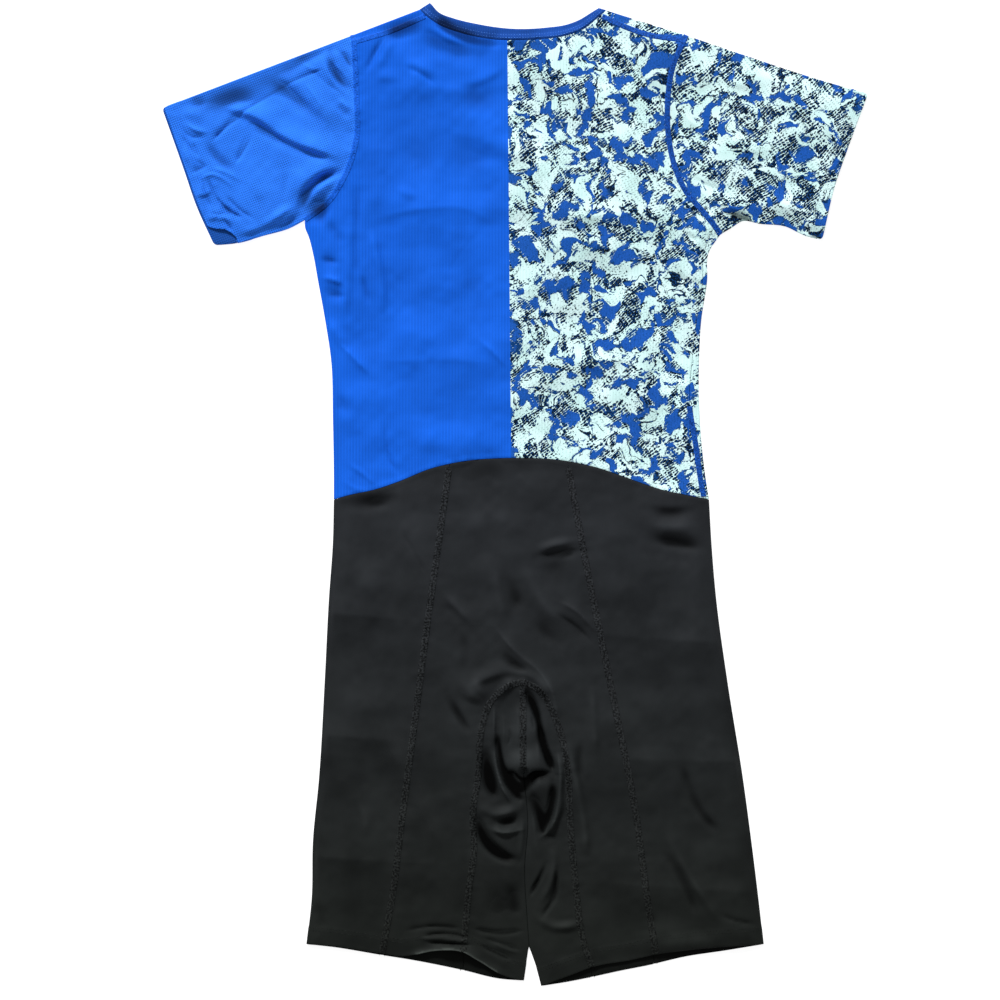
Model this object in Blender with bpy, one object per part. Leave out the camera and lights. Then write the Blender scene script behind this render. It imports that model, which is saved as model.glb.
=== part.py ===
"""Running speedsuit laid flat, back side up: a long-sleeved top sewn to mid-thigh shorts.

The empty suit lies in two layers of cloth. Each cut piece is one solid, a wall of even
thickness. A piece is made of sheets that lie in the top or the under layer. Where the cloth
turns under at a shoulder, a side or a leg, a rounded fold joins a top sheet to an under sheet.
Lengths are millimetres. Across is measured to the right of the suit's centre line, and up is
measured from the waist towards the neck.
"""
from collections import namedtuple
import math

import bmesh
import bpy
from mathutils import Vector
from mathutils.geometry import delaunay_2d_cdt

METRES = 0.001

# Driving dimensions
WALL = 1.0                 # thickness of the cloth
SEAM_GAP = 0.3             # between two pieces at a seam
FOLD_START = 1.0           # a fold that carries on a seam's line starts this far along it
FOLD_RADIUS = 0.8          # middle of the cloth where it turns under
FOLD_MARGIN = FOLD_RADIUS + WALL / 2
UNDER_LEVEL = WALL / 2     # middle of the under layer's cloth, which lies on the surface
TOP_LEVEL = UNDER_LEVEL + 2 * FOLD_RADIUS
PUFF = 2.0                 # the top layer stands this much higher away from its edges
PUFF_REACH = 18.0          # and comes down over this distance
CUT_EDGE_SHARE = 0.3       # share of the puff that is left at an open edge
FRONT_SCOOP = 9.0          # the front armhole is cut this much deeper than the back one
CURVE_STEP = 17.0          # spacing of the points along a seam or a fold
BODY_CELL = 23.0           # mesh size of the large pieces
CROTCH_CELL = 11.0         # mesh size of the inner leg pieces, which are the most creased
FOLD_STEPS = 3             # facets round a turned-under fold
SIDE_TURN = 4.0            # the back panel turns under this far at its left side
RIM_SHARE = 0.45           # no inner mesh point is nearer the outline than this share of a cell
CORNER_TURN = 0.6          # sine of the turn from which two runs of an outline meet in a corner
CENTRE_OFFSET = 2.3        # the laid suit's middle lies this far right of its centre line

Side = namedtuple("Side", "up left right")
Edge = namedtuple("Edge", "kind points")
Sheet = namedtuple("Sheet", "layer edges")
Piece = namedtuple("Piece", "name colour cell sheets")
Crease = namedtuple("Crease", "path width height")

SEAM, CUT = "seam", "cut"
INSIDE_ONLY = 1            # the triangulation keeps what lies inside the outline
TOP, UNDER = "top", "under"

# Where the cloth turns under at the sides of the body and of the two legs
BODY_SIDES = (
    Side(293.5, -228.5, 240),
    Side(285, -225, 225.5),
    Side(266, -220, 215),
    Side(236, -214.5, 213.5),
    Side(192, -206.5, 207),
    Side(148, -200, 204.5),
    Side(82, -198, 205.5),
    Side(17, -197, 212),
)
LEG_SIDES = (
    Side(-50, -198, 218),
    Side(-115, -202.5, 223.5),
    Side(-203, -207, 235.5),
    Side(-313, -213.5, 253),
    Side(-380, -220, 262),
    Side(-445, -221.5, 270),
)
WAIST_SIDE = Side(-5, -197, 215.5)
HEM_SIDE = Side(-494, -227, 275.5)

# Seams between the seat of the shorts and their side panels, waist to hem
BACK_LONG_SEAMS = (
    Side(33, -70, 60.5),
    Side(-40, -80, 73.5),
    Side(-144, -94.5, 94),
    Side(-250, -108, 115.5),
    Side(-345, -120.5, 134),
    Side(-440, -132.5, 147),
)
FRONT_LONG_SEAMS = (
    Side(-6, -92, 96),
    Side(-144, -100, 108),
    Side(-345, -118, 132),
)
LONG_SEAM_ENDS = Side(-505, -144, 157)

# (across, up) along the other seams, folds and edges
NECK_FREE = ((-91, 541), (-82, 531), (-65, 524), (-40, 518), (0, 512.5), (38, 514),
             (60, 517.5), (74, 523), (84, 529), (93, 536))
NECK_SEAM = ((-102, 534), (-95, 527), (-82, 518), (-57, 508.5), (-23, 501.8), (25, 501.5),
             (58, 505.5), (79, 514), (90, 522.5), (102, 533))
FRONT_NECK_FREE = ((-91, 541), (-82, 520), (-60, 489), (-32, 467), (0, 461), (33, 467),
                   (61, 488), (83, 518), (93, 536))
FRONT_NECK_SEAM = ((-102, 534), (-93, 514), (-68, 480), (-37, 457), (0, 450), (38, 457),
                   (69, 479), (94, 513), (102, 533))
SHOULDER_SEAM = {"left": ((-95, 527), (-139, 508.5), (-174.5, 498)),
                 "right": ((95.5, 527.3), (122, 515), (147, 506), (188, 500))}
SHOULDER_POINT = {"left": (-176, 505.7), "right": (190.5, 505.4)}
ARMHOLE = {"left": ((-174.5, 498), (-172, 441), (-172, 390), (-184, 352), (-203, 322), (-229, 302)),
           "right": ((188, 500), (176, 472), (170, 434), (171.5, 390), (181, 355), (206, 316),
                     (232, 302), (244, 300))}
SLEEVE_FOLD = {"left": (SHOULDER_POINT["left"], (-386, 425.5)),
               "right": (SHOULDER_POINT["right"], (243, 487.5), (349, 453), (390.5, 441.5))}
CUFF = {"left": (SLEEVE_FOLD["left"][-1], (-361, 355), (-349, 320), (-328.5, 274.5)),
        "right": (SLEEVE_FOLD["right"][-1], (371.5, 390), (353.5, 338), (340, 280.5))}
UNDERARM = {"left": ((-229, 302), (-245, 293.5), (-274, 285), (-303, 277), (-328.5, 274.5)),
            "right": ((244, 300), (252, 302.5), (272, 298), (300, 295),
                      (319, 286), (340, 280.5))}
WAIST = ((-197, -5), (-179, 0), (-153, 5.5), (-126, 14.5), (-90, 29), (-60, 36), (0, 40.5),
         (60, 37), (90, 30.5), (137, 14.5), (164, 5.5), (190, 0), (215.5, -5))
FRONT_WAIST = ((-197, -5), (0, -9), (215.5, -5))
SIDE_SEAM = ((232, 302), (226, 292), (218, 282), (211, 266), (209.5, 236), (201, 185), (198, 148),
             (196.5, 100), (200.5, 50), (207, 10), (209.5, -3.6))
CROTCH_TOP = (11, -205.5)      # the inner leg panels' centre seam starts here
CROTCH = (11, -305)            # and here it turns under, between the legs
INSEAM = {"left": ((-55, -502), (-48, -430), (-43, -391), (-44, -350), (-38, -305), (-35, -260),
                   (-25, -228), (-1, -208), CROTCH_TOP),
          "right": ((87, -519), (77, -490), (69, -430), (62, -345), (60.5, -305), (50, -255),
                    (40, -231), (27.5, -213.5), CROTCH_TOP)}
FRONT_INSEAM = {"left": ((-55, -522.5), (-48, -430), (-43, -345), (-36, -260), (-15, -205),
                         (11, -190)),
                "right": ((87, -530), (72, -430), (63, -345), (55, -260), (36, -205), (11, -190))}
LEG_SPLIT = ((11, -305), (16, -363), (12.5, -410), (15, -462), (17.5, -497))
LEG_INSIDE_END = {"left": ((12, -534),), "right": ((25, -518), (31, -540))}
HEM = {"left": ((-227, -494), (-198, -496), (-144, -504), (-114, -509), (-109, -504), (-88, -500.5),
                (-55, -502), (-37, -512.5), (-8, -529), (12, -534)),
       "right": ((31, -540), (60, -529), (87, -519), (131, -511), (157, -505), (198, -499.5),
                 (240, -496), (275.5, -494))}
UNDER_HEM = {"left": ((-227, -494), (-199, -497), (-144, -506), (-107, -512), (-55, -522.5),
                      (-14, -532), (12, -534)),
             "right": ((31, -540), (62, -535), (87, -530), (119, -523), (147, -517.5),
                       (190, -507.5), (233, -501), (275.5, -494))}

# The largest creases of the top layer: a positive height is a ridge, a negative one a trough
CREASES = (
    Crease(((-324, 426), (-283, 410), (-233, 378), (-207, 363)), 13, 4.0),
    Crease(((-283, 402), (-254, 382), (-223, 363)), 10, -2.5),
    Crease(((-275, 464), (-228, 430), (-207, 409)), 12, 2.0),
    Crease(((11, -235), (13, -360)), 36, 5.0),
    Crease(((-21, -240), (-21, -295), (-1, -340)), 7, 3.5),
    Crease(((23, -213), (29, -252), (42, -298)), 8, -4.0),
    Crease(((-31, -272), (-30, -297), (-23, -333)), 7, -3.5),
    Crease(((-40, -352), (-32, -380), (-19, -397), (6, -406)), 9, -3.5),
    Crease(((-22, -370), (6, -367)), 10, 3.0),
    Crease(((-30, -62), (37, -109), (80, -148)), 15, 1.8),
    Crease(((-10, -172), (18, -200)), 14, -1.6),
    Crease(((152, -16), (216, -18)), 12, -1.6),
    Crease(((150, -53), (216, -54)), 12, -1.6),
    Crease(((-100, -510), (-28, -524)), 16, 5.0),
)


def smooth_curve(points, step=CURVE_STEP):
    """Points about a step apart on a smooth curve through the given ones."""
    spans = [math.dist(a, b) for a, b in zip(points, points[1:])]
    slopes = [tuple((q - p) / span for p, q in zip(a, b))
              for a, b, span in zip(points, points[1:], spans)]
    tangents = [slopes[0]]
    for i in range(1, len(slopes)):
        before, after = spans[i - 1], spans[i]
        tangents.append(tuple((s * after + t * before) / (before + after)
                              for s, t in zip(slopes[i - 1], slopes[i])))
    tangents.append(slopes[-1])
    curve = [points[0]]
    for i, span in enumerate(spans):
        count = max(1, round(span / step))
        for k in range(1, count + 1):
            t = k / count
            weights = (2 * t**3 - 3 * t**2 + 1, (t**3 - 2 * t**2 + t) * span,
                       3 * t**2 - 2 * t**3, (t**3 - t**2) * span)
            curve.append(tuple(
                weights[0] * p + weights[1] * m + weights[2] * q + weights[3] * n
                for p, m, q, n in zip(points[i], tangents[i], points[i + 1], tangents[i + 1])))
    return curve


def side_column(rows, hand):
    """The (across, up) points of one side of a table of sides."""
    return [(getattr(row, hand), row.up) for row in rows]


def between(curve, start, end):
    """The stretch of a curve from the point nearest to start to the one nearest to end."""
    first, last = (min(range(len(curve)), key=lambda i: math.dist(curve[i], point))
                   for point in (start, end))
    if first <= last:
        return curve[first:last + 1]
    return curve[last:first + 1][::-1]


def segment_distance(point, a, b):
    """Distance from a point to the straight line between a and b."""
    run = (b[0] - a[0], b[1] - a[1])
    reach = run[0]**2 + run[1]**2
    share = ((point[0] - a[0]) * run[0] + (point[1] - a[1]) * run[1]) / reach
    share = min(1.0, max(0.0, share))
    return math.dist(point, (a[0] + share * run[0], a[1] + share * run[1]))


def curve_distance(point, curve):
    """Distance from a point to a curve given by its points."""
    return min(segment_distance(point, a, b) for a, b in zip(curve, curve[1:]))


def ease(share):
    """Smooth step from 0 to 1."""
    share = min(1.0, max(0.0, share))
    return share * share * (3 - 2 * share)


class Pattern:
    """The suit's seams, folds and open edges as smooth curves that its pieces share."""

    def __init__(self):
        self.neck_free = smooth_curve(NECK_FREE)
        self.neck_seam = smooth_curve(NECK_SEAM)
        self.front_neck_free = smooth_curve(FRONT_NECK_FREE)
        self.front_neck_seam = smooth_curve(FRONT_NECK_SEAM)
        self.waist = smooth_curve(WAIST)
        self.front_waist = smooth_curve(FRONT_WAIST)
        self.side_seam = smooth_curve(SIDE_SEAM)
        self.crotch_seam = smooth_curve((CROTCH_TOP, CROTCH))
        self.front_crotch_seam = smooth_curve((FRONT_INSEAM["left"][-1], CROTCH))
        hands = ("left", "right")
        self.shoulder_seam = {hand: smooth_curve(SHOULDER_SEAM[hand]) for hand in hands}
        self.shoulder_fold = {hand: smooth_curve((self.neck_corner(hand), SHOULDER_POINT[hand]))
                              for hand in hands}
        self.sleeve_fold = {hand: smooth_curve(SLEEVE_FOLD[hand]) for hand in hands}
        self.armhole = {hand: smooth_curve(ARMHOLE[hand]) for hand in hands}
        self.front_armhole = {hand: self.scooped(hand) for hand in hands}
        self.underarm = {hand: smooth_curve(UNDERARM[hand]) for hand in hands}
        self.cuff = {hand: smooth_curve(CUFF[hand]) for hand in hands}
        self.body_side = {hand: self.body_fold(hand) for hand in hands}
        self.leg_side = {hand: smooth_curve([self.corner(WAIST_SIDE, hand)]
                                            + side_column(LEG_SIDES, hand)
                                            + [self.corner(HEM_SIDE, hand)]) for hand in hands}
        self.long_seam = {hand: self.long_curve(BACK_LONG_SEAMS, HEM, hand) for hand in hands}
        self.front_long_seam = {hand: self.long_curve(FRONT_LONG_SEAMS, UNDER_HEM, hand)
                                for hand in hands}
        self.inseam = {hand: smooth_curve(INSEAM[hand]) for hand in hands}
        self.front_inseam = {hand: smooth_curve(FRONT_INSEAM[hand]) for hand in hands}
        self.leg_inside = {hand: smooth_curve(LEG_SPLIT)
                           + smooth_curve(LEG_SPLIT[-1:] + LEG_INSIDE_END[hand])[1:]
                           for hand in hands}
        self.hem = {hand: smooth_curve(HEM[hand]) for hand in hands}
        self.under_hem = {hand: smooth_curve(UNDER_HEM[hand]) for hand in hands}
        self.folds = [curve for table in (self.shoulder_fold, self.sleeve_fold, self.underarm,
                                          self.body_side, self.leg_side, self.leg_inside)
                      for curve in table.values()]
        self.open_edges = [self.neck_free, *self.cuff.values(), *self.hem.values()]

    @staticmethod
    def corner(row, hand):
        """The (across, up) point of one row of a table of sides."""
        return (getattr(row, hand), row.up)

    @staticmethod
    def neck_corner(hand):
        """Where the shoulder's fold meets the neck binding."""
        return NECK_SEAM[0] if hand == "left" else NECK_SEAM[-1]

    def body_fold(self, hand):
        """The fold down the body's side, from the armpit to the waist."""
        rows = [ARMHOLE[hand][-1]] + side_column(BODY_SIDES, hand)
        return smooth_curve(rows + [self.corner(WAIST_SIDE, hand)])

    def scooped(self, hand):
        """The front armhole: the back one and its shoulder end, cut deeper into the panel."""
        curve = [SHOULDER_POINT[hand]] + self.armhole[hand]
        inwards = 1 if hand == "left" else -1
        last = len(curve) - 1
        return [(x + inwards * FRONT_SCOOP * math.sin(math.pi * i / last), y)
                for i, (x, y) in enumerate(curve)]

    def long_curve(self, rows, hems, hand):
        """A seam down the shorts from the waist to its place on the hem."""
        across = getattr(LONG_SEAM_ENDS, hand)
        end = min(smooth_curve(hems[hand]), key=lambda point: abs(point[0] - across))
        return smooth_curve(side_column(rows, hand) + [end])

    def height(self, point):
        """Height of the middle of the top layer's cloth."""
        from_fold = min(curve_distance(point, fold) for fold in self.folds) - FOLD_MARGIN
        from_edge = min(curve_distance(point, edge) for edge in self.open_edges)
        inside = ease(from_fold / PUFF_REACH)
        puff = PUFF * min(inside, CUT_EDGE_SHARE
                          + (1 - CUT_EDGE_SHARE) * ease(from_edge / PUFF_REACH))
        relief = sum(crease.height * math.exp(-(curve_distance(point, crease.path)
                                                / crease.width)**2) for crease in CREASES)
        return TOP_LEVEL + max(0.0, puff + relief * inside)


def inset_outline(edges):
    """A sheet's outline inside its seams, edges and folds: (point, kind of the run after it)."""
    margins = {SEAM: SEAM_GAP / 2, CUT: 0.0,
               "inside_left": FOLD_MARGIN + SEAM_GAP, "inside_right": FOLD_MARGIN + SEAM_GAP}
    runs = [(a, b, edge.kind) for edge in edges for a, b in zip(edge.points, edge.points[1:])
            if math.dist(a, b) > SEAM_GAP]
    area = sum(a[0] * b[1] - b[0] * a[1] for a, b, _ in runs)
    if area < 0:
        runs = [(b, a, kind) for a, b, kind in reversed(runs)]
    outline = []
    for before, after in zip([runs[-1]] + runs[:-1], runs):
        lines = []
        for a, b, kind in (before, after):
            length = math.dist(a, b)
            direction = ((b[0] - a[0]) / length, (b[1] - a[1]) / length)
            margin = margins.get(kind, FOLD_MARGIN)
            lines.append((direction, (-direction[1] * margin, direction[0] * margin), margin))
        (d1, n1, m1), (d2, n2, m2) = lines
        corner, kind = after[0], after[2]
        turn = d1[0] * d2[1] - d1[1] * d2[0]
        if abs(turn) > CORNER_TURN:
            gap = (n2[0] - n1[0], n2[1] - n1[1])
            along = (gap[0] * d2[1] - gap[1] * d2[0]) / turn
            outline.append(((corner[0] + n1[0] + d1[0] * along,
                             corner[1] + n1[1] + d1[1] * along), kind))
        elif m1 == m2:
            outline.append(((corner[0] + (n1[0] + n2[0]) / 2,
                             corner[1] + (n1[1] + n2[1]) / 2), kind))
        else:
            back, ahead = (-FOLD_START, 0) if m1 > m2 else (0, FOLD_START)
            outline.append(((corner[0] + n1[0] + d1[0] * back,
                             corner[1] + n1[1] + d1[1] * back), SEAM))
            outline.append(((corner[0] + n2[0] + d2[0] * ahead,
                             corner[1] + n2[1] + d2[1] * ahead), kind))
    return outline


def is_inside(point, outline):
    """Whether a point lies inside a closed outline."""
    crossings = 0
    for a, b in zip([outline[-1]] + outline[:-1], outline):
        if (a[1] > point[1]) != (b[1] > point[1]):
            crossings += point[0] < a[0] + (b[0] - a[0]) * (point[1] - a[1]) / (b[1] - a[1])
    return crossings % 2 == 1


def triangulate(sheet, cell):
    """A sheet as triangles on a staggered lattice: its points, its faces and its fold runs."""
    outline = inset_outline(sheet.edges)
    rim = [point for point, _ in outline]
    closed = rim + rim[:1]
    inner = []
    row_height = cell * math.sqrt(3) / 2
    low, high = (pick(point[1] for point in rim) for pick in (min, max))
    left, right = (pick(point[0] for point in rim) for pick in (min, max))
    for row in range(math.ceil(low / row_height), math.floor(high / row_height) + 1):
        stagger = cell / 2 * (row % 2)
        for column in range(math.floor(left / cell), math.ceil(right / cell) + 1):
            point = (column * cell + stagger, row * row_height)
            if is_inside(point, rim) and curve_distance(point, closed) > RIM_SHARE * cell:
                inner.append(point)
    points, _, faces, sources, _, _ = delaunay_2d_cdt(
        [Vector(point) for point in rim + inner], [], [list(range(len(rim)))], INSIDE_ONLY, 1e-4)
    place = {old: new for new, olds in enumerate(sources) for old in olds}
    folds = {}
    for i, (_, kind) in enumerate(outline):
        if kind not in (SEAM, CUT):
            run = folds.setdefault(kind, [])
            run += [place[k] for k in (i, (i + 1) % len(rim)) if place[k] not in run]
    return [tuple(point) for point in points], faces, folds


def add_fold(bm, top_run, under_run):
    """Join a top sheet to an under sheet by cloth turned round a half circle.

    Both runs go anticlockwise round their sheets, so the fold stands out to the right of them.
    """
    rows = []
    for i, (top, under) in enumerate(zip(top_run, under_run)):
        before, after = top_run[max(i - 1, 0)].co, top_run[min(i + 1, len(top_run) - 1)].co
        along = (after - before).normalized()
        out = (along.y, -along.x)
        middle = (top.co + under.co) / 2
        row = [top]
        for step in range(1, FOLD_STEPS):
            angle = math.pi * step / FOLD_STEPS
            reach = FOLD_RADIUS * math.sin(angle)
            row.append(bm.verts.new((middle.x + out[0] * reach, middle.y + out[1] * reach,
                                     middle.z + FOLD_RADIUS * math.cos(angle))))
        rows.append(row + [under])
    for near, far in zip(rows, rows[1:]):
        for k in range(FOLD_STEPS):
            bm.faces.new((near[k], near[k + 1], far[k + 1], far[k]))


def build_piece(piece, pattern):
    """One cut piece of the suit as a walled solid."""
    bm = bmesh.new()
    runs = {}
    for sheet in piece.sheets:
        points, faces, folds = triangulate(sheet, piece.cell)
        on_fold = {i for run in folds.values() for i in run}
        verts = []
        for i, point in enumerate(points):
            level = TOP_LEVEL if sheet.layer == TOP else UNDER_LEVEL
            if sheet.layer == TOP and i not in on_fold:
                level = pattern.height(point)
            verts.append(bm.verts.new((*point, level)))
        for face in faces:
            bm.faces.new([verts[i] for i in face])
        for kind, run in folds.items():
            runs.setdefault(kind, {})[sheet.layer] = [verts[i] for i in run]
    for kind, run in runs.items():
        if len(run[TOP]) != len(run[UNDER]):
            raise ValueError(f"{piece.name}: the two sides of {kind} do not match")
        add_fold(bm, run[TOP], run[UNDER])
    bmesh.ops.recalc_face_normals(bm, faces=bm.faces[:])
    for vert in bm.verts:
        vert.co = ((vert.co.x - CENTRE_OFFSET) * METRES, vert.co.y * METRES, vert.co.z * METRES)
    mesh = bpy.data.meshes.new(piece.name)
    bm.to_mesh(mesh)
    bm.free()
    mesh.shade_smooth()
    obj = bpy.data.objects.new(piece.name, mesh)
    bpy.context.scene.collection.objects.link(obj)
    wall = obj.modifiers.new("Wall", "SOLIDIFY")
    wall.thickness = WALL * METRES
    wall.offset = 0.0
    wall.use_even_offset = True
    wall.use_quality_normals = True
    mesh.materials.append(cloth_material(piece))
    return obj


ROYAL_BLUE = (0.011, 0.116, 0.69)
SLEEVE_BLUE = (0.028, 0.18, 0.8)
BAND_BLUE = (0.024, 0.093, 0.42)
PRINT_WHITE = (0.72, 0.93, 0.95)
BLACK = (0.02, 0.021, 0.023)


def cloth_material(piece):
    """Matt stretch cloth in the piece's colour."""
    material = bpy.data.materials.new(f"{piece.name}_cloth")
    material.use_nodes = True
    shader = material.node_tree.nodes["Principled BSDF"]
    shader.inputs["Base Color"].default_value = (*piece.colour, 1.0)
    shader.inputs["Roughness"].default_value = 0.75
    shader.inputs["Metallic"].default_value = 0.0
    return material


def neck_binding(pattern):
    """The band round the neck: its back on top, its deeper front below."""
    tips = {"left": (NECK_FREE[0], NECK_SEAM[0]), "right": (NECK_SEAM[-1], NECK_FREE[-1])}
    sheets = [Sheet(layer, (
        Edge("neck_left", list(tips["left"])), Edge(SEAM, seam),
        Edge("neck_right", list(tips["right"])), Edge(CUT, free[::-1])))
        for layer, free, seam in ((TOP, pattern.neck_free, pattern.neck_seam),
                                  (UNDER, pattern.front_neck_free, pattern.front_neck_seam))]
    return Piece("neck_binding", BAND_BLUE, BODY_CELL, sheets)


def back_panel(pattern):
    """The back of the top, which turns under a little way at its left side."""
    left_strip = [(x + SIDE_TURN, y) for x, y in pattern.body_side["left"]]
    neck = between(pattern.neck_seam, SHOULDER_SEAM["left"][0], SHOULDER_SEAM["right"][0])
    back = Sheet(TOP, (
        Edge(SEAM, neck),
        Edge(SEAM, [neck[-1]] + pattern.shoulder_seam["right"][1:]),
        Edge(SEAM, between(pattern.armhole["right"], pattern.armhole["right"][0], SIDE_SEAM[0])),
        Edge(SEAM, pattern.side_seam),
        Edge(SEAM, [pattern.side_seam[-1]] + between(
            pattern.waist, pattern.side_seam[-1], WAIST[0])[1:]),
        Edge("body_left", pattern.body_side["left"][::-1]),
        Edge(SEAM, pattern.armhole["left"][::-1]),
        Edge(SEAM, pattern.shoulder_seam["left"][::-1][:-1] + [neck[0]])))
    strip = Sheet(UNDER, (
        Edge("body_left", pattern.body_side["left"][::-1]),
        Edge(SEAM, [pattern.body_side["left"][0], left_strip[0]]),
        Edge(SEAM, left_strip),
        Edge(SEAM, [left_strip[-1], pattern.body_side["left"][-1]])))
    return Piece("back_panel", ROYAL_BLUE, BODY_CELL, [back, strip])


def front_panel(pattern):
    """The front of the top, under the back, turned up over both shoulders and the right side."""
    inner_side = [(x + SIDE_TURN, y) for x, y in pattern.body_side["left"]]
    front = Sheet(UNDER, (
        Edge(SEAM, pattern.front_neck_seam),
        Edge("shoulder_right", pattern.shoulder_fold["right"]),
        Edge(SEAM, pattern.front_armhole["right"]),
        Edge("body_right", pattern.body_side["right"]),
        Edge(SEAM, pattern.front_waist[::-1][:-1] + [inner_side[-1]]),
        Edge(SEAM, inner_side[::-1]),
        Edge(SEAM, [inner_side[0]] + pattern.front_armhole["left"][::-1][1:]),
        Edge("shoulder_left", pattern.shoulder_fold["left"][::-1])))
    sheets = [front]
    for hand in ("left", "right"):
        seam = pattern.shoulder_seam[hand]
        junction = min(pattern.neck_seam, key=lambda point: math.dist(point, seam[0]))
        sheets.append(Sheet(TOP, (
            Edge(f"shoulder_{hand}", pattern.shoulder_fold[hand]),
            Edge(SEAM, [SHOULDER_POINT[hand], seam[-1]]),
            Edge(SEAM, seam[::-1][:-1] + [junction]),
            Edge(SEAM, between(pattern.neck_seam, junction, pattern.neck_corner(hand))))))
    sheets.append(Sheet(TOP, (
        Edge("body_right", pattern.body_side["right"]),
        Edge(SEAM, [pattern.body_side["right"][-1], pattern.side_seam[-1]]),
        Edge(SEAM, pattern.side_seam[::-1]),
        Edge(SEAM, [pattern.side_seam[0], pattern.body_side["right"][0]]))))
    return Piece("front_panel", ROYAL_BLUE, BODY_CELL, sheets)


def sleeve(pattern, hand):
    """One sleeve, a flattened tube from the armhole to the open cuff."""
    colour = SLEEVE_BLUE if hand == "left" else PRINT_WHITE
    sheets = [Sheet(layer, (
        Edge(f"sleeve_{hand}", pattern.sleeve_fold[hand]),
        Edge(CUT, pattern.cuff[hand]),
        Edge(f"underarm_{hand}", pattern.underarm[hand][::-1]),
        Edge(SEAM, armhole[::-1])))
        for layer, armhole in ((TOP, [SHOULDER_POINT[hand]] + pattern.armhole[hand]),
                               (UNDER, pattern.front_armhole[hand]))]
    return Piece(f"sleeve_{hand}", colour, BODY_CELL, sheets)


def shorts_centre(pattern, name, layer, waist, long_seam, inseam, hem):
    """The seat or the front of the shorts: one panel that runs down both legs."""
    edges = []
    for hand in ("left", "right"):
        waist_part = between(waist, (CROTCH[0], waist[len(waist) // 2][1]), long_seam[hand][0])
        side = [waist_part[-1]] + long_seam[hand][1:]
        hem_part = between(hem[hand], long_seam[hand][-1], inseam[hand][0])
        chain = [waist_part, side, hem_part, [hem_part[-1]] + inseam[hand][1:]]
        kinds = [SEAM, SEAM, CUT, SEAM]
        if hand == "left":
            edges += [Edge(kind, run) for kind, run in zip(kinds, chain)]
        else:
            edges += [Edge(kind, run[::-1]) for kind, run in zip(kinds[::-1], chain[::-1])]
    return Piece(name, BLACK, BODY_CELL, [Sheet(layer, edges)])


def shorts_side(pattern, hand):
    """A side panel of the shorts, turned under along its outer edge."""
    sheets = []
    for layer, waist, long_seam, hem in (
            (TOP, pattern.waist, pattern.long_seam, pattern.hem),
            (UNDER, pattern.front_waist, pattern.front_long_seam, pattern.under_hem)):
        waist_part = between(waist, long_seam[hand][0], pattern.leg_side[hand][0])
        hem_part = between(hem[hand], pattern.leg_side[hand][-1], long_seam[hand][-1])
        sheets.append(Sheet(layer, (
            Edge(SEAM, waist_part),
            Edge(f"leg_{hand}", pattern.leg_side[hand]),
            Edge(CUT, hem_part),
            Edge(SEAM, long_seam[hand][::-1][:-1] + [waist_part[0]]))))
    return Piece(f"shorts_side_{hand}", BLACK, BODY_CELL, sheets)


def inner_leg(pattern, hand):
    """An inner leg panel: the crotch seam, then round the inside of the leg to the hem."""
    sheets = []
    for layer, inseam, hem, crotch_seam in (
            (TOP, pattern.inseam, pattern.hem, pattern.crotch_seam),
            (UNDER, pattern.front_inseam, pattern.under_hem, pattern.front_crotch_seam)):
        hem_part = between(hem[hand], pattern.leg_inside[hand][-1], inseam[hand][0])
        sheets.append(Sheet(layer, (
            Edge(SEAM, crotch_seam),
            Edge(f"inside_{hand}", pattern.leg_inside[hand]),
            Edge(CUT, hem_part),
            Edge(SEAM, [hem_part[-1]] + inseam[hand][1:]))))
    return Piece(f"inner_leg_{hand}", BLACK, CROTCH_CELL, sheets)


def main():
    """Clear the scene and make every piece of the suit."""
    for obj in list(bpy.data.objects):
        bpy.data.objects.remove(obj, do_unlink=True)
    pattern = Pattern()
    pieces = [neck_binding(pattern), back_panel(pattern), front_panel(pattern)]
    pieces.append(shorts_centre(pattern, "shorts_back", TOP, pattern.waist, pattern.long_seam,
                                pattern.inseam, pattern.hem))
    pieces.append(shorts_centre(pattern, "shorts_front", UNDER, pattern.front_waist,
                                pattern.front_long_seam, pattern.front_inseam,
                                pattern.under_hem))
    for hand in ("left", "right"):
        pieces += [sleeve(pattern, hand), shorts_side(pattern, hand), inner_leg(pattern, hand)]
    for piece in pieces:
        build_piece(piece, pattern)


main()
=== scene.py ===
"""Looks of an empty running speedsuit that lies flat with its back up.

The suit lies in two layers of thin stretch knit. Each cut piece is a shell of cloth on the same
pattern as its solid: sheets in the top and the under layer, joined by a rounded fold where the
cloth turns under. The top layer carries the creases, the seams are stitched over, and open edges
are turned into hems. Lengths are millimetres until a mesh is written, which is in metres. Across
is measured to the right of the suit's centre line, and up from the waist towards the neck.
"""

import logging
import math
from collections.abc import Callable, Iterable, Sequence
from dataclasses import dataclass, field
from enum import Enum

import bpy
import numpy as np
from bpy.types import Material, Node, NodeSocket, NodeTree, Object
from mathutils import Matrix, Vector
from mathutils.geometry import delaunay_2d_cdt

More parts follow.
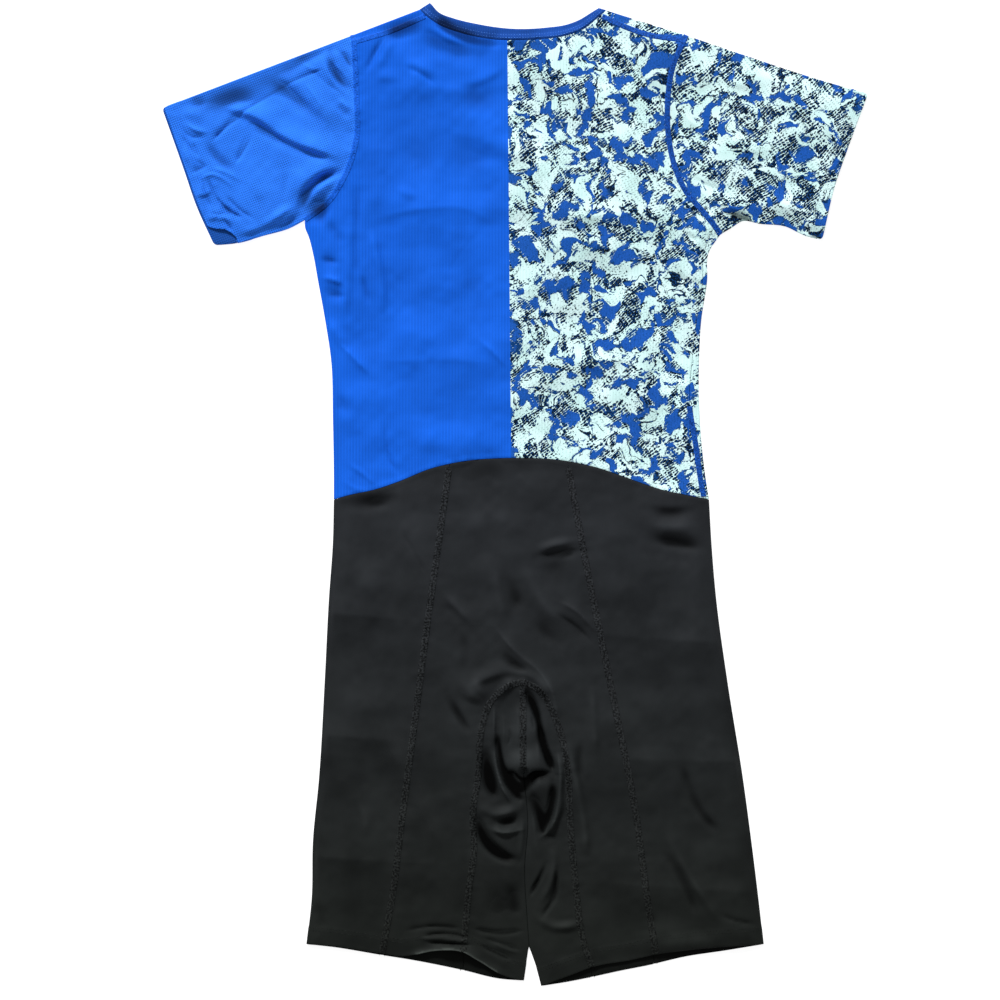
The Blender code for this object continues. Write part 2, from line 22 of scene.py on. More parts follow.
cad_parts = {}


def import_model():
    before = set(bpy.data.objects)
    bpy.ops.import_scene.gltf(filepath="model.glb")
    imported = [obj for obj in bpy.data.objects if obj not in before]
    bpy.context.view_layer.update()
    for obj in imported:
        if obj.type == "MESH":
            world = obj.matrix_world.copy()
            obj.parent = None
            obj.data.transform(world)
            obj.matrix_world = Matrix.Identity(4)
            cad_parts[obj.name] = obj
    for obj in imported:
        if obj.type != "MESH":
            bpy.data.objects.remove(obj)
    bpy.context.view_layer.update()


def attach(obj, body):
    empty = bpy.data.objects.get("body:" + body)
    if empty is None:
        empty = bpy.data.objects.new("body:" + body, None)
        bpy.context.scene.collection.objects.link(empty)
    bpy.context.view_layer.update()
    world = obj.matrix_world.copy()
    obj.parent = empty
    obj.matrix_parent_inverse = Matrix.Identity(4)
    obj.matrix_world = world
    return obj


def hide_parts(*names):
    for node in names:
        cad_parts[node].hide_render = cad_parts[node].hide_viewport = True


Point = tuple[float, float]
Array = np.ndarray
Colour = tuple[float, float, float]
Model = tuple[Array, list[list[int]]]  # points and faces

METRES = 0.001
CENTRE_OFFSET = 2.3  # the laid suit's middle lies this far right of its centre line
FAR = 1e4  # stands for a distance that was not worth measuring
MOST_PAIRS = 1500000  # of points and runs of a line that are compared at once
BODY = "root"
WRONG_SIDE_PAINTED_SHADE = "wrong_side"  # names the attribute of the cloth's inner faces, which are darkened as painted shade
PAINTED_SHADING = "hollow"  # and that of the painted shade in its creases and the painted highlight on crests and the hem's lip

log = logging.getLogger("speedsuit")


class Layer(Enum):
    """The layer that a sheet lies in."""

    TOP = "top"
    UNDER = "under"


class Run(Enum):
    """What a stretch of a sheet's outline is."""

    SEAM = "seam"
    OPEN = "open edge"
    FOLD = "fold"


class Hand(Enum):
    """A side of the suit as it lies."""

    LEFT = "left"
    RIGHT = "right"


LEFT, RIGHT = HANDS = tuple(Hand)
TOP, UNDER = Layer
SEAM, OPEN, FOLD = Run

# (up, across at the left, across at the right) where the cloth turns under, and along seams
BODY_SIDES = ((266, -220, 215), (236, -214.5, 213.5), (192, -206.5, 207), (148, -200, 204.5),
              (82, -198, 205.5), (17, -197, 212))
LEG_SIDES = ((-50, -198, 218), (-115, -202.5, 223.5), (-203, -207, 235.5), (-313, -213.5, 253),
             (-380, -220, 262), (-445, -221.5, 270))
WAIST_SIDE = (-5, -197, 215.5)
HEM_SIDE = (-494, -227, 275.5)
BACK_LONG_SEAMS = ((33, -70, 60.5), (-40, -80, 73.5), (-144, -94.5, 94), (-250, -108, 115.5),
                   (-345, -120.5, 134), (-440, -132.5, 147))
FRONT_LONG_SEAMS = ((-6, -92, 96), (-144, -100, 108), (-345, -118, 132))
LONG_SEAM_ENDS = {LEFT: -144, RIGHT: 157}

# (across, up) along the other seams, folds and edges
NECK_FREE = ((-91, 541), (-82, 531), (-65, 524), (-40, 518), (0, 512.5), (38, 514),
             (60, 517.5), (74, 523), (84, 529), (94, 535.2))
NECK_SEAM = ((-102, 534), (-95, 527), (-82, 518), (-57, 508.5), (-23, 501.8), (25, 501.5),
             (58, 505.5), (79, 514), (90, 522.5), (102, 533))
FRONT_NECK_FREE = ((-91, 541), (-82, 520), (-60, 489), (-32, 467), (0, 461), (33, 467),
                   (61, 488), (83, 518), (94, 535.2))
FRONT_NECK_SEAM = ((-102, 534), (-93, 514), (-68, 480), (-37, 457), (0, 450), (38, 457),
                   (69, 479), (94, 513), (102, 533))
SHOULDER_SEAM = {LEFT: ((-95, 527), (-139, 508.5), (-174.5, 498)),
                 RIGHT: ((95.5, 527.3), (122, 515), (147, 506), (188, 500))}
SHOULDER_POINT = {LEFT: (-176, 505.7), RIGHT: (190.5, 505.4)}
ARMHOLE = {LEFT: ((-174.5, 498), (-172, 441), (-172, 390), (-184, 352), (-203, 322),
                       (-229, 302)),
           RIGHT: ((188, 500), (176, 472), (170, 434), (171.5, 390), (179, 357),
                        (191, 332), (202, 319), (213, 306), (221.5, 295.5), (228, 286.5))}
ARMPIT = {LEFT: ((-228.5, 293.5), (-225, 285)), RIGHT: ()}
SLEEVE_FOLD = {LEFT: (SHOULDER_POINT[LEFT], (-386, 425.5)),
               RIGHT: (SHOULDER_POINT[RIGHT], (243, 487.5), (349, 453), (390.5, 441.5))}
CUFF = {LEFT: (SLEEVE_FOLD[LEFT][-1], (-361, 355), (-349, 320), (-328.5, 274.5)),
        RIGHT: (SLEEVE_FOLD[RIGHT][-1], (371.5, 390), (353.5, 338), (340, 280.5))}
UNDERARM = {LEFT: ((-229, 302), (-245, 293.5), (-274, 285), (-303, 277), (-328.5, 274.5)),
            RIGHT: ((228, 286.5), (240, 293.5), (252, 301), (272, 298), (300, 295),
                         (319, 286), (340, 280.5))}
WAIST = ((-197, -5), (-179, 0), (-153, 5.5), (-126, 14.5), (-90, 29), (-60, 36), (0, 40.5),
         (60, 37), (90, 30.5), (137, 14.5), (164, 5.5), (190, 0), (215.5, -5))
FRONT_WAIST = ((-197, -5), (0, -9), (215.5, -5))
SIDE_SEAM = ((221.5, 295.5), (216, 283), (210, 266), (208.5, 236), (201, 185), (197, 148),
             (194, 100), (201, 54), (206.5, 15), (210, -3.6))
SIDE_SEAM_SHOWS = (194, 98)  # its threads show from here down
CROTCH_TOP = (11, -205.5)
CROTCH = (11, -305)
INSEAM = {LEFT: ((-55, -502), (-48, -430), (-43, -391), (-44, -350), (-38, -305),
                      (-35, -260), (-25, -228), (-1, -208), CROTCH_TOP),
          RIGHT: ((87, -519), (77, -490), (69, -430), (62, -345), (60.5, -305), (50, -255),
                       (40, -231), (27.5, -213.5), CROTCH_TOP)}
FRONT_INSEAM = {LEFT: ((-55, -522.5), (-48, -430), (-43, -345), (-36, -260), (-15, -205),
                            (11, -190)),
                RIGHT: ((87, -530), (72, -430), (63, -345), (55, -260), (36, -205),
                             (11, -190))}
LEFT_CUFF_FLAP = ((-334, 294.5), (-326, 292.4), (-317, 292), (-309.5, 288), (-304.5, 283.5),
                  (-303, 277))
LEG_SPLIT = ((11, -305), (16, -363), (12.5, -410), (15, -462), (17.5, -497))
LEG_INSIDE_END = {LEFT: ((12, -534),), RIGHT: ((25, -518), (31, -540))}
HEM = {LEFT: ((-227, -494), (-198, -496), (-144, -504), (-122, -507), (-108, -505),
                   (-88, -501), (-55, -502), (-37, -512.5), (-8, -529), (12, -534)),
       RIGHT: ((31, -540), (60, -529), (87, -519), (131, -511), (157, -505), (198, -499.5),
                    (240, -496), (275.5, -494))}
UNDER_HEM = {LEFT: ((-227, -494), (-199, -497), (-144, -506), (-107, -512), (-55, -522.5),
                         (-14, -532), (12, -534)),
             RIGHT: ((31, -540), (62, -535), (87, -530), (119, -523), (147, -517.5),
                          (190, -507.5), (233, -501), (275.5, -494))}


@dataclass(frozen=True)
class Crease:
    """A crease of the top layer.

    Its height is that of the crest, below nought for a trough. The two widths are those of its
    slopes, to the left and the right of the way its path runs. A keen crease has a sharp crest.
    """

    height: float
    left: float
    right: float
    path: tuple[Point, ...]
    keen: bool = False


def creases(*rows: tuple[float, ...]) -> tuple[Crease, ...]:
    """Creases from rows of height, left width, right width, 1 for a keen one, and the path."""
    return tuple(Crease(*row[:3], tuple(zip(row[4::2], row[5::2])), bool(row[3]))
                 for row in rows)


LEFT_SLEEVE_CREASES = creases(
    (4.4, 13, 5, 0, -324, 429, -284, 417, -247, 393, -210, 378, -187, 372),
    (3.6, 14, 9, 0, -267, 468, -232, 449, -210, 425, -194, 400),
    (1.6, 2.6, 2.6, 1, -228, 453, -218, 438, -206, 420),
    (-1.9, 9, 12, 0, -339, 432, -302, 438, -265, 442),
    (-2, 2, 3, 1, -209, 468, -238, 456, -284, 429, -302, 416, -330, 389),
    (-2.1, 2, 4, 1, -300, 417, -313, 407, -330, 389),
    (-3.1, 2, 3.5, 1, -287, 396, -298, 377, -305, 364),
    (-2.6, 6, 5, 0, -339, 392, -327, 372, -302, 352),
    (-3.1, 4, 2.6, 1, -354, 353, -345, 358, -335, 362),
    (2.4, 10, 2.6, 0, -350, 330, -339, 331, -331, 336),
    (2.2, 9, 3, 0, -339, 303, -326, 306, -315, 310),
    (2.1, 4, 3, 1, -334, 359, -320, 356, -297, 344),
    (-2.6, 2, 3, 1, -331, 342, -329, 332, -323, 324, -308, 310, -295, 304),
    (-1.8, 1.8, 2.6, 1, -335, 349, -332, 339, -329, 331),
    (-1.6, 2, 3, 1, -366, 396, -354, 381, -348, 372),
    (2.1, 3, 2.6, 1, -360, 410, -352, 403, -336, 399),
    (-1.7, 2, 2.6, 1, -353, 389, -349, 380, -346, 370),
    (1.6, 3, 2.4, 1, -364, 383, -361, 374, -356, 364),
    (-2.9, 2, 3, 1, -318, 304, -313, 297, -308, 289),
    (-2.6, 3, 4, 1, -321, 320, -315, 314, -307, 309),
    (3.4, 14, 6, 0, -247, 326, -227, 347, -214, 356, -199, 360, -185, 359),
    (-5.6, 5, 4.5, 0, -236, 309, -228, 328, -211, 346, -188, 357),
    (3.4, 4, 7, 0, -225, 325, -206, 341, -188, 350),
    (-4.6, 4.5, 5, 0, -202, 495, -197, 468, -188, 454, -176, 443),
    (2.3, 4, 4, 1, -208, 479, -203, 462, -185, 440),
    (-2.6, 2.6, 3, 1, -188, 490, -182, 478, -177, 467),
    (-1.8, 4, 4, 0, -196, 431, -181, 417, -176, 414),
    (2.1, 4, 4, 1, -193, 436, -185, 429, -176, 422),
    (-1.4, 4, 5, 0, -247, 358, -249, 343, -253, 324),
    (2.4, 5, 3.4, 0, -302, 287, -284, 292, -265, 301, -247, 314, -238, 318),
    (-1, 5, 5, 0, -284, 330, -276, 319, -273, 306),
    (1.2, 6, 5, 0, -366, 422, -350, 418, -333, 414),
    (-3, 6, 7, 0, -357, 438, -336, 431),
    (-3.2, 5, 6, 0, -246, 474, -226, 483, -203, 491),
    (-2.8, 5, 8, 0, -272, 459, -248, 444, -204, 405),
    (-2.4, 3, 6, 0, -290, 412, -247, 386, -200, 368),
    (1.6, 9, 6, 0, -262, 298, -248, 306, -238, 318),
    (-2.6, 4, 4, 0, -262, 291, -247, 297, -237, 306),
    (1.8, 2.2, 2.6, 1, -358.1, 407, -344.3, 398.8, -333.3, 398.8),
    (-1.8, 2.2, 2.6, 1, -366.3, 385, -360.8, 368.5, -355.3, 352),
    (2, 2.2, 2.6, 1, -344.3, 346.5, -333.3, 352, -316.8, 346.5, -305.8, 335.5),
    (-2.2, 2.2, 2.6, 1, -340.2, 343.8, -337.4, 330, -330.6, 313.5),
    (2, 2.2, 2.6, 1, -330.6, 332.8, -319.6, 321.8, -308.6, 313.5),
    (-2, 2.2, 2.6, 1, -316.8, 330, -300.3, 313.5, -283.8, 302.5),
    (2.2, 2.2, 2.6, 1, -327.8, 301.1, -316.8, 304.7, -305.8, 297),
    (-1.6, 2.2, 2.6, 1, -349.8, 368.5, -336.1, 360.3),
    (-1.6, 2.2, 2.6, 1, -363.6, 401.5, -352.6, 393.3, -340.2, 393.3),
    (1.6, 2.2, 2.6, 1, -347.1, 332.8, -342.9, 319, -337.4, 305.2),
    (-1.8, 2.2, 2.6, 1, -334.7, 310.8, -325.1, 308, -314.1, 309.4),
    (1.6, 3, 3.4, 1, -206.8, 489.5, -195.8, 473, -182.1, 459.3),
    (-1.8, 3, 3.4, 1, -195.8, 492.3, -182.1, 478.5, -175.2, 467.5),
    (1.6, 3, 3.4, 1, -234.3, 478.5, -220.6, 467.5, -206.8, 470.3),
    (-1.6, 3, 3.4, 1, -223.3, 470.3, -206.8, 453.8, -187.6, 440),
    (-2.8, 10, 16, 0, -368, 416, -320, 438, -270, 458, -215, 482))
RIGHT_SLEEVE_CREASES = creases(
    (-8, 2.2, 6, 1, 235, 310, 250, 307, 266, 301),
    (2.4, 6, 4, 1, 214, 326, 236, 317, 262, 309),
    (1.8, 9, 7, 0, 262, 330, 296, 320, 330, 318),
    (2, 10, 6, 0, 212, 470, 240, 455, 268, 451),
    (-1.4, 7, 7, 0, 300, 440, 322, 400, 330, 360),
    (1.6, 10, 7, 0, 228, 400, 262, 380, 290, 384),
    (-1.8, 4, 5, 1, 196, 350, 222, 338, 244, 340),
    (1.5, 5, 4, 1, 186, 420, 204, 404, 226, 398),
    (1.5, 9, 5, 0, 340, 420, 356, 396, 362, 360))
BODY_CREASES = creases(
    (-2.8, 1.8, 2.6, 1, -142, 504, -152, 486, -161, 466),
    (1.2, 5, 4, 0, -131, 501, -143, 482, -152, 462),
    (-1.7, 2.6, 3.4, 1, -121, 471, -106, 465, -84, 450),
    (1.2, 7, 4, 0, -124, 478, -102, 471, -80, 457),
    (1.3, 8, 5, 0, -154, 457, -139, 459, -121, 457),
    (1.8, 9, 5, 0, -55, 453, -36, 456, -18, 466, -7, 479),
    (3, 26, 12, 0, -80, 411, -36, 392, -7, 382, 40, 370),
    (-1.8, 12, 26, 0, -73, 389, -40, 373, -3, 362),
    (3.9, 34, 40, 1, -172, 294, -157, 302, -121, 311, -91, 315, -55, 315, -29, 304, -18, 292),
    (1.2, 6, 5, 0, -130, 340, -117, 331, -102, 328),
    (4.1, 36, 34, 1, -172, 155, -157, 151, -66, 148, -18, 144),
    (2.6, 4, 4, 1, -194, 170, -176, 152, -155, 130),
    (2, 4, 4, 1, -40, 173, -22, 157, -5, 138),
    (-1.7, 5, 7, 0, -169, 346, -173, 273, -171, 233),
    (1.5, 5, 5, 0, -176, 321, -182, 233, -186, 189),
    (2.8, 5, 5, 0, -157, 295, -144, 226, -143, 196),
    (-1.9, 3, 4, 0, -165, 244, -161, 222, -157, 207),
    (-2, 3, 3, 1, -141, 79, -139, 57, -134, 37, -125, 22),
    (1.8, 2.6, 2.6, 1, -181, 35, -166, 24, -150, 10),
    (1.3, 2.4, 2.4, 1, -186, 16, -176, 8, -157, 3),
    (-4.2, 4, 6, 1, -212, 259, -203, 258, -190, 255),
    (3.8, 5, 5, 1, -210, 239, -199, 237, -185, 231),
    (-3.6, 4, 5, 1, -209, 225, -198, 221, -183, 218),
    (1.6, 14, 9, 0, 40, 470, 80, 430, 128, 424),
    (3.3, 30, 24, 1, 12, 309, 70, 305, 130, 309, 190, 302),
    (3.6, 34, 24, 1, 10, 148, 80, 146, 150, 150, 192, 146),
    (-1.4, 12, 14, 0, 60, 280, 100, 250, 160, 244),
    (1.5, 12, 10, 0, 150, 200, 140, 120, 150, 60),
    (-2, 4, 6, 1, 176, 250, 190, 236, 206, 230),
    (1.8, 5, 5, 1, 172, 128, 186, 120, 196, 122),
    (-1.8, 3, 4, 1, 184, 292, 198, 282, 208, 280),
    (-3, 5, 13, 0, -106, 516, -84, 500, -52, 490, -14, 486),
    (1.6, 8, 10, 0, -140, 430, -110, 442, -70, 446, -30, 430),
    (-5.6, 12, 13, 0, -232, 322, -216, 316, -198, 310),
    (2.2, 20, 14, 0, -150, 66, -90, 60, -30, 52),
    (-0.5, 5, 14, 0, -165, 152, -120, 147, -66, 144.5, -26, 141),
    (-0.4, 5, 14, 0, -160, 290, -120, 305, -90, 310, -55, 309, -26, 293),
    (-6.6, 5, 5, 0, -93, 531, -75, 515, -47, 501, -10, 495),
    (1.8, 16, 10, 0, -150, 446, -110, 452, -74, 470),
    (-1.6, 14, 14, 0, -60, 452, -40, 438, -8, 430),
    (1.6, 14, 14, 0, -64, 50, -30, 60, -6, 44),
    (-2.6, 5, 8, 0, -206, 300, -196, 290, -186, 272),
    (2.2, 6, 6, 0, -205, 196, -196, 180, -180, 160),
    (-2, 8, 7, 0, -196, 110, -184, 96, -170, 90),
    (2.2, 18, 16, 0, -150, 200, -110, 180, -70, 176),
    (-2, 18, 14, 0, -56, 250, -40, 220, -34, 190),
    (2, 14, 12, 0, -168, 330, -140, 322, -110, 322),
    (-1.4, 16, 20, 0, -120, 398, -104, 372, -80, 352),
    (2.2, 14, 12, 0, -132, 478, -110, 468, -92, 452),
    (-1.6, 16, 16, 0, -62, 446, -36, 436, -14, 446),
    (-4.4, 10, 9, 0, -150, 501, -122, 513, -92, 521),
    (-2.6, 4, 4, 0, -91, 538, -71, 521, -44, 508, -8, 502))
SHORTS_CREASES = creases(
    (4.9, 60, 26, 1, -262, -126, -150, -134, -96, -139),
    (6.8, 70, 52, 1, -290, -393, -170, -400, -58, -406),
    (5.8, 70, 46, 1, 84, -152, 160, -158, 290, -166),
    (6, 60, 70, 1, 70, -287, 144, -290, 330, -294),
    (4.8, 60, 60, 1, 60, -424, 160, -430, 350, -440),
    (-1.4, 2.5, 4, 1, -121, -42, -110, -60, -95, -88),
    (-3.6, 6, 8, 0, -193, -12, -158, -8, -121, -3),
    (-3.3, 5, 7, 0, 144, -15, 176, -19, 207, -15),
    (-3.6, 8, 6, 0, 144, -47, 180, -53, 217, -59),
    (2.7, 6, 8, 0, 137, -33, 172, -36, 211, -34),
    (3.6, 6, 6, 1, -21, -145, 7, -176, 27, -192, 42, -213, 48, -239, 50, -258),
    (-3.6, 5, 6, 0, -14, -174, 3, -187, 25, -196),
    (2.7, 8, 8, 0, -32, -58, -21, -90, -9, -152),
    (3.3, 8, 8, 0, 7, -70, 38, -125, 64, -145),
    (-3, 7, 7, 0, -9, -86, 3, -113, 7, -131),
    (3, 5, 4, 0, 23, -62, 46, -55, 73, -50),
    (-3.3, 3, 6, 0, 27, -68, 46, -64, 74, -61),
    (3, 5, 5, 1, 46, -116, 66, -125, 94, -153),
    (-3, 4, 6, 1, 46, -129, 70, -145, 90, -165),
    (-2.7, 8, 8, 0, 23, -133, 42, -156, 62, -165),
    (3, 7, 5, 0, -80, -105, -60, -125, -41, -144),
    (-2.1, 6, 6, 0, -56, -148, -52, -176, -56, -200),
    (3.2, 9, 5, 0, -52, -211, -9, -194, 15, -196, 34, -211, 47, -232),
    (3, 11, 9, 0, -44, -231, -38, -219, -28, -211),
    (-3.2, 4, 5, 0, -74, -218, -60, -241, -45, -265),
    (4.2, 50, 36, 1, -176, -196, -131, -284, -90, -366, -56, -416),
    (2.4, 5, 5, 0, 87, -207, 89, -255, 91, -290),
    (-2.1, 4, 5, 0, 76, -266, 73, -294, 76, -321),
    (3.6, 5, 6, 0, 58, -266, 70, -317, 78, -365, 81, -400),
    (-2.7, 4, 5, 0, 184, -294, 207, -349, 227, -372),
    (2.7, 5, 5, 0, 168, -372, 207, -439, 229, -471),
    (-2.4, 4, 4, 0, 164, -388, 188, -427, 203, -463),
    (-2, 3, 3, 1, 223, -459, 247, -468, 270, -472),
    (2, 7, 5, 0, -170, -333, -162, -357, -164, -380),
    (-2.4, 15, 13, 0, -23, -422, -16, -447, -13, -469),
    (-3.1, 2.4, 2.4, 1, -44, -477, -17, -481, 12, -479),
    (-4.5, 2.4, 2.4, 1, -95, -491, -72, -493, -44, -495),
    (-3.6, 2.2, 2.2, 1, -99, -484, -72, -482, -48, -487),
    (2.6, 2.4, 2.4, 1, -103, -487, -72, -488, -50, -491),
    (-3.3, 2.2, 2.2, 1, -36, -495, -21, -502, -1, -511),
    (-3, 2.2, 2.2, 1, -32, -487, -13, -493, 7, -500),
    (3.6, 5, 5, 0, 23, -463, 46, -474, 80, -470),
    (2.7, 4, 5, 0, 46, -388, 43, -420, 29, -452),
    (-4, 2.6, 2.6, 0, 37, -405, 27, -425, 17, -442),
    (-2.4, 6, 6, 0, -221, -447, -211, -463, -209, -479),
    (3.8, 9, 12, 0, -98, -504, -80, -500, -50, -506, -24, -522),
    (5, 3.6, 3, 1, -116, -508, -100, -504.5, -82.5, -502.2, -56, -502.7, -40.7, -512, -5.5,
     -531.7),
    (5.4, 50, 44, 1, -280, -259, -150, -268, -92, -273),
    (3.4, 10, 8, 0, -54, -226, -41, -212, -28, -206),
    (-3.1, 2.6, 3, 1, -118, -478, -90, -474, -58, -476),
    (1.8, 3, 3, 1, -22, -492, -8, -499, 8, -504),
    (-2.4, 8, 8, 0, -276, -452, -268, -468, -255, -478),
    (-2.2, 14, 16, 0, -80, 20, -10, 31, 55, 26),
    (3.2, 18, 15, 0, -64, -42, -22, -28, 16, -34),
    (2.8, 20, 14, 0, -184, -92, -160, -98, -128, -106),
    (-1.8, 30, 34, 0, -216, -268, -192, -312, -160, -352),
    (2.6, 14, 16, 0, -150, -228, -116, -298, -92, -350, -68, -400),
    (2.4, 18, 18, 0, 120, -215, 160, -235, 190, -262),
    (-2.2, 16, 18, 0, 30, -70, 52, -86, 74, -98),
    (2.4, 16, 14, 0, 200, -480, 160, -486, 120, -492),
    (-2.4, 16, 16, 0, 240, -60, 236, -110, 246, -150),
    (-3.4, 2.8, 3, 0, 48, -410, 45, -442, 32, -464),
    (3, 9, 9, 0, 240, -488, 190, -493, 142, -498))
CROTCH_CREASES = creases(
    (6, 26, 24, 0, 12, -218, 13, -270, 14, -350),
    (4.6, 3.2, 3.2, 1, -20.6, -230.3, -20.6, -271.6, -17.4, -301.7, -11.8, -320.4, -0.5, -341.1),
    (-9, 6.5, 6.5, 0, -31.1, -273.5, -27.7, -301.7, -22.1, -324.2, -15.5, -337.3),
    (-7.5, 3.2, 5, 0, -17, -260, -16, -279, -11, -301, -3, -320, 8, -332, 16, -334),
    (-8, 2.6, 9, 0, -6, -302, 13, -313, 22, -306, 45, -306),
    (3, 1.8, 1.8, 1, -3, -302, 3, -310, 11, -318),
    (-8.5, 4, 4, 0, 13, -211, 25, -238, 34, -276, 46, -307),
    (4.2, 3, 4.6, 1, 49, -282, 52, -317, 49, -339, 45, -358, 38, -371, 30, -377),
    (-8, 4, 4, 0, 44, -315, 44, -332, 41, -348, 36, -362, 30, -369),
    (-8, 6, 6.5, 0, 17, -323, 30, -351, 42, -384),
    (4.2, 6, 5, 0, -43, -339, -30, -347, -17, -351, 12, -341),
    (-6.4, 6, 6, 0, -42, -346, -35, -369, -20, -390, 5, -402),
    (2.4, 2.4, 2.4, 1, -24, -368, -10, -371, 14, -367),
    (2.2, 5, 3, 0, 10, -354, 10, -378, 8, -400),
    (2, 5, 5, 0, 20, -350, 22, -370, 30, -402),
    (-2.6, 1.8, 1.8, 1, -5, -255, -3, -266, -6, -277),
    (-1.4, 1.6, 1.6, 1, 13, -252, 14, -279, 13, -306),
    (-1.8, 1.8, 1.8, 1, 20, -241, 22, -252, 23, -260),
    (1.2, 2.2, 2.2, 1, 5, -229, 5, -252, 5, -279),
    (1.2, 2.4, 2.4, 1, 27, -270, 28, -284, 30, -295),
    (1.4, 3, 3, 1, -11, -238, -10, -257, -10, -276),
    (-8, 5, 6, 0, -6.6, -300.3, 3.3, -315.7, 14.3, -330),
    (-4.2, 4, 5, 0, -39, -362, -29, -382, -14, -395, 7, -402),
    (2.4, 4, 4, 0, -25.3, -366.3, -9.9, -369.6, 5.5, -366.3),
    (-4.5, 5, 6, 0, -18.7, -359.7, -3.3, -357.5, 7.7, -355.3),
    (-2.6, 8, 7, 0, -3.3, -423.5, 1.1, -445.5, 3.3, -467.5),
    (3.4, 3.5, 3.5, 0, 51.1, -279.1, 53.4, -297.9, 52.1, -324.2, 49.3, -350.5, 39.9, -367.4, 32.4,
     -374.9),
    (3.2, 5, 5, 0, -18.3, -228.4, -5.2, -207.8, 8, -202.5),
    (2.6, 11, 8, 0, -10, -290, 14, -297, 38, -290))


def ease(share: Array) -> Array:
    """A smooth step from 0 to 1."""
    share = np.clip(share, 0, 1)
    return share * share * (3 - 2 * share)


def smooth_curve(points: Sequence[Point], step: float) -> Array:
    """A smooth curve through points, as points that are about a step apart.

    Args:
        points: what it goes through.
        step: how far apart its points are, about.

    Returns:
        the points.
    """
    knots = np.asarray(points, float)
    spans = np.linalg.norm(np.diff(knots, axis=0), axis=1)[:, None]
    slopes = np.diff(knots, axis=0) / spans
    middle = (slopes[:-1] * spans[1:] + slopes[1:] * spans[:-1]) / (spans[:-1] + spans[1:])
    tangents = np.vstack([slopes[:1], middle, slopes[-1:]])
    rows = [knots[:1]]
    for i, span in enumerate(spans[:, 0]):
        count = max(1, round(span / step))
        t = (np.arange(1, count + 1) / count)[:, None]
        rows.append((2 * t**3 - 3 * t**2 + 1) * knots[i] + (t**3 - 2 * t**2 + t) * span * tangents[i]
                    + (3 * t**2 - 2 * t**3) * knots[i + 1] + (t**3 - t**2) * span * tangents[i + 1])
    return np.vstack(rows)


def turn(a: Array, b: Array) -> Array:
    """How far b turns to the left of a, times both lengths."""
    return a[..., 0] * b[..., 1] - a[..., 1] * b[..., 0]


def unit(vectors: Array) -> Array:
    """Vectors scaled to a length of 1."""
    return vectors / np.maximum(np.linalg.norm(vectors, axis=-1, keepdims=True), 1e-12)


def stations(line: Array) -> Array:
    """How far along a line each of its points is."""
    return np.concatenate([[0], np.cumsum(np.linalg.norm(np.diff(line, axis=0), axis=1))])


def places(line: Array, at: Array) -> Array:
    """The points at some distances along a line."""
    return np.column_stack([np.interp(at, stations(line), line[:, i]) for i in range(2)])


def left_of(line: Array) -> Array:
    """The way to the left of a line at each of its points."""
    way = unit(np.gradient(line, axis=0))
    return np.column_stack([-way[:, 1], way[:, 0]])


def shortened(line: Array, start: float, end: float) -> Array:
    """A line without its first and last few millimetres.

    Args:
        line: the line.
        start: how much is cut off its start.
        end: how much off its end.

    Returns:
        the rest.
    """
    at = stations(line)
    last = at[-1] - end
    return places(line, np.concatenate([[start], at[(at > start) & (at < last)], [last]]))


def nearness(at: Array, line: Array, reach: float) -> tuple[Array, Array, Array]:
    """How points lie to a line.

    Args:
        at: the points.
        line: the line's points.
        reach: points that lie further away than this may be passed over.

    Returns:
        The distance of each point, its side (1 to the left, -1 to the right) and how far along
        the line its nearest place is.
    """
    distance = np.full(len(at), FAR)
    side, along = np.zeros(len(at)), np.zeros(len(at))
    near = np.flatnonzero(((at >= line.min(0) - reach) & (at <= line.max(0) + reach)).all(1))
    runs, before = np.diff(line, axis=0), stations(line)
    lengths = np.diff(before)
    for part in np.array_split(near, 1 + len(near) * len(runs) // MOST_PAIRS):
        gap = at[part, None] - line[:-1]
        share = np.clip((gap * runs).sum(2) / lengths**2, 0, 1)
        squares = ((gap - share[..., None] * runs)**2).sum(2)
        best, rows = squares.argmin(1), np.arange(len(part))
        distance[part] = np.sqrt(squares[rows, best])
        side[part] = np.sign(turn(runs[best], gap[rows, best]))
        along[part] = before[best] + share[rows, best] * lengths[best]
    return distance, side, along


def between(curve: Array, start: Point, end: Point) -> Array:
    """The stretch of a curve from its point nearest to start to the one nearest to end.

    Args:
        curve: the curve.
        start: a place near the start.
        end: a place near the end.

    Returns:
        the stretch, from start to end.
    """
    first, last = (int(np.linalg.norm(curve - np.asarray(point), axis=1).argmin())
                   for point in (start, end))
    return curve[first:last + 1] if first <= last else curve[last:first + 1][::-1]


def joined(*parts: Iterable) -> Array:
    """Lines end to end as one line."""
    return np.vstack([np.atleast_2d(np.asarray(part, float)) for part in parts if len(part)])


def smooth_noise(at: Array, size: float, seed: int, cells: int = 64) -> Array:
    """Soft random swells from -1 to 1, the same ones each time.

    Args:
        at: the points.
        size: how far apart the swells are.
        seed: which swells they are.
        cells: they repeat after so many.

    Returns:
        a number for each point.
    """
    grid = np.random.default_rng(seed).uniform(-1, 1, (cells, cells))
    cell = np.floor(at / size).astype(int)
    across, up = ease(at / size - cell).T
    (x, y), (x1, y1) = (cell % cells).T, ((cell + 1) % cells).T
    low = grid[x, y] * (1 - across) + grid[x1, y] * across
    high = grid[x, y1] * (1 - across) + grid[x1, y1] * across
    return low * (1 - up) + high * up


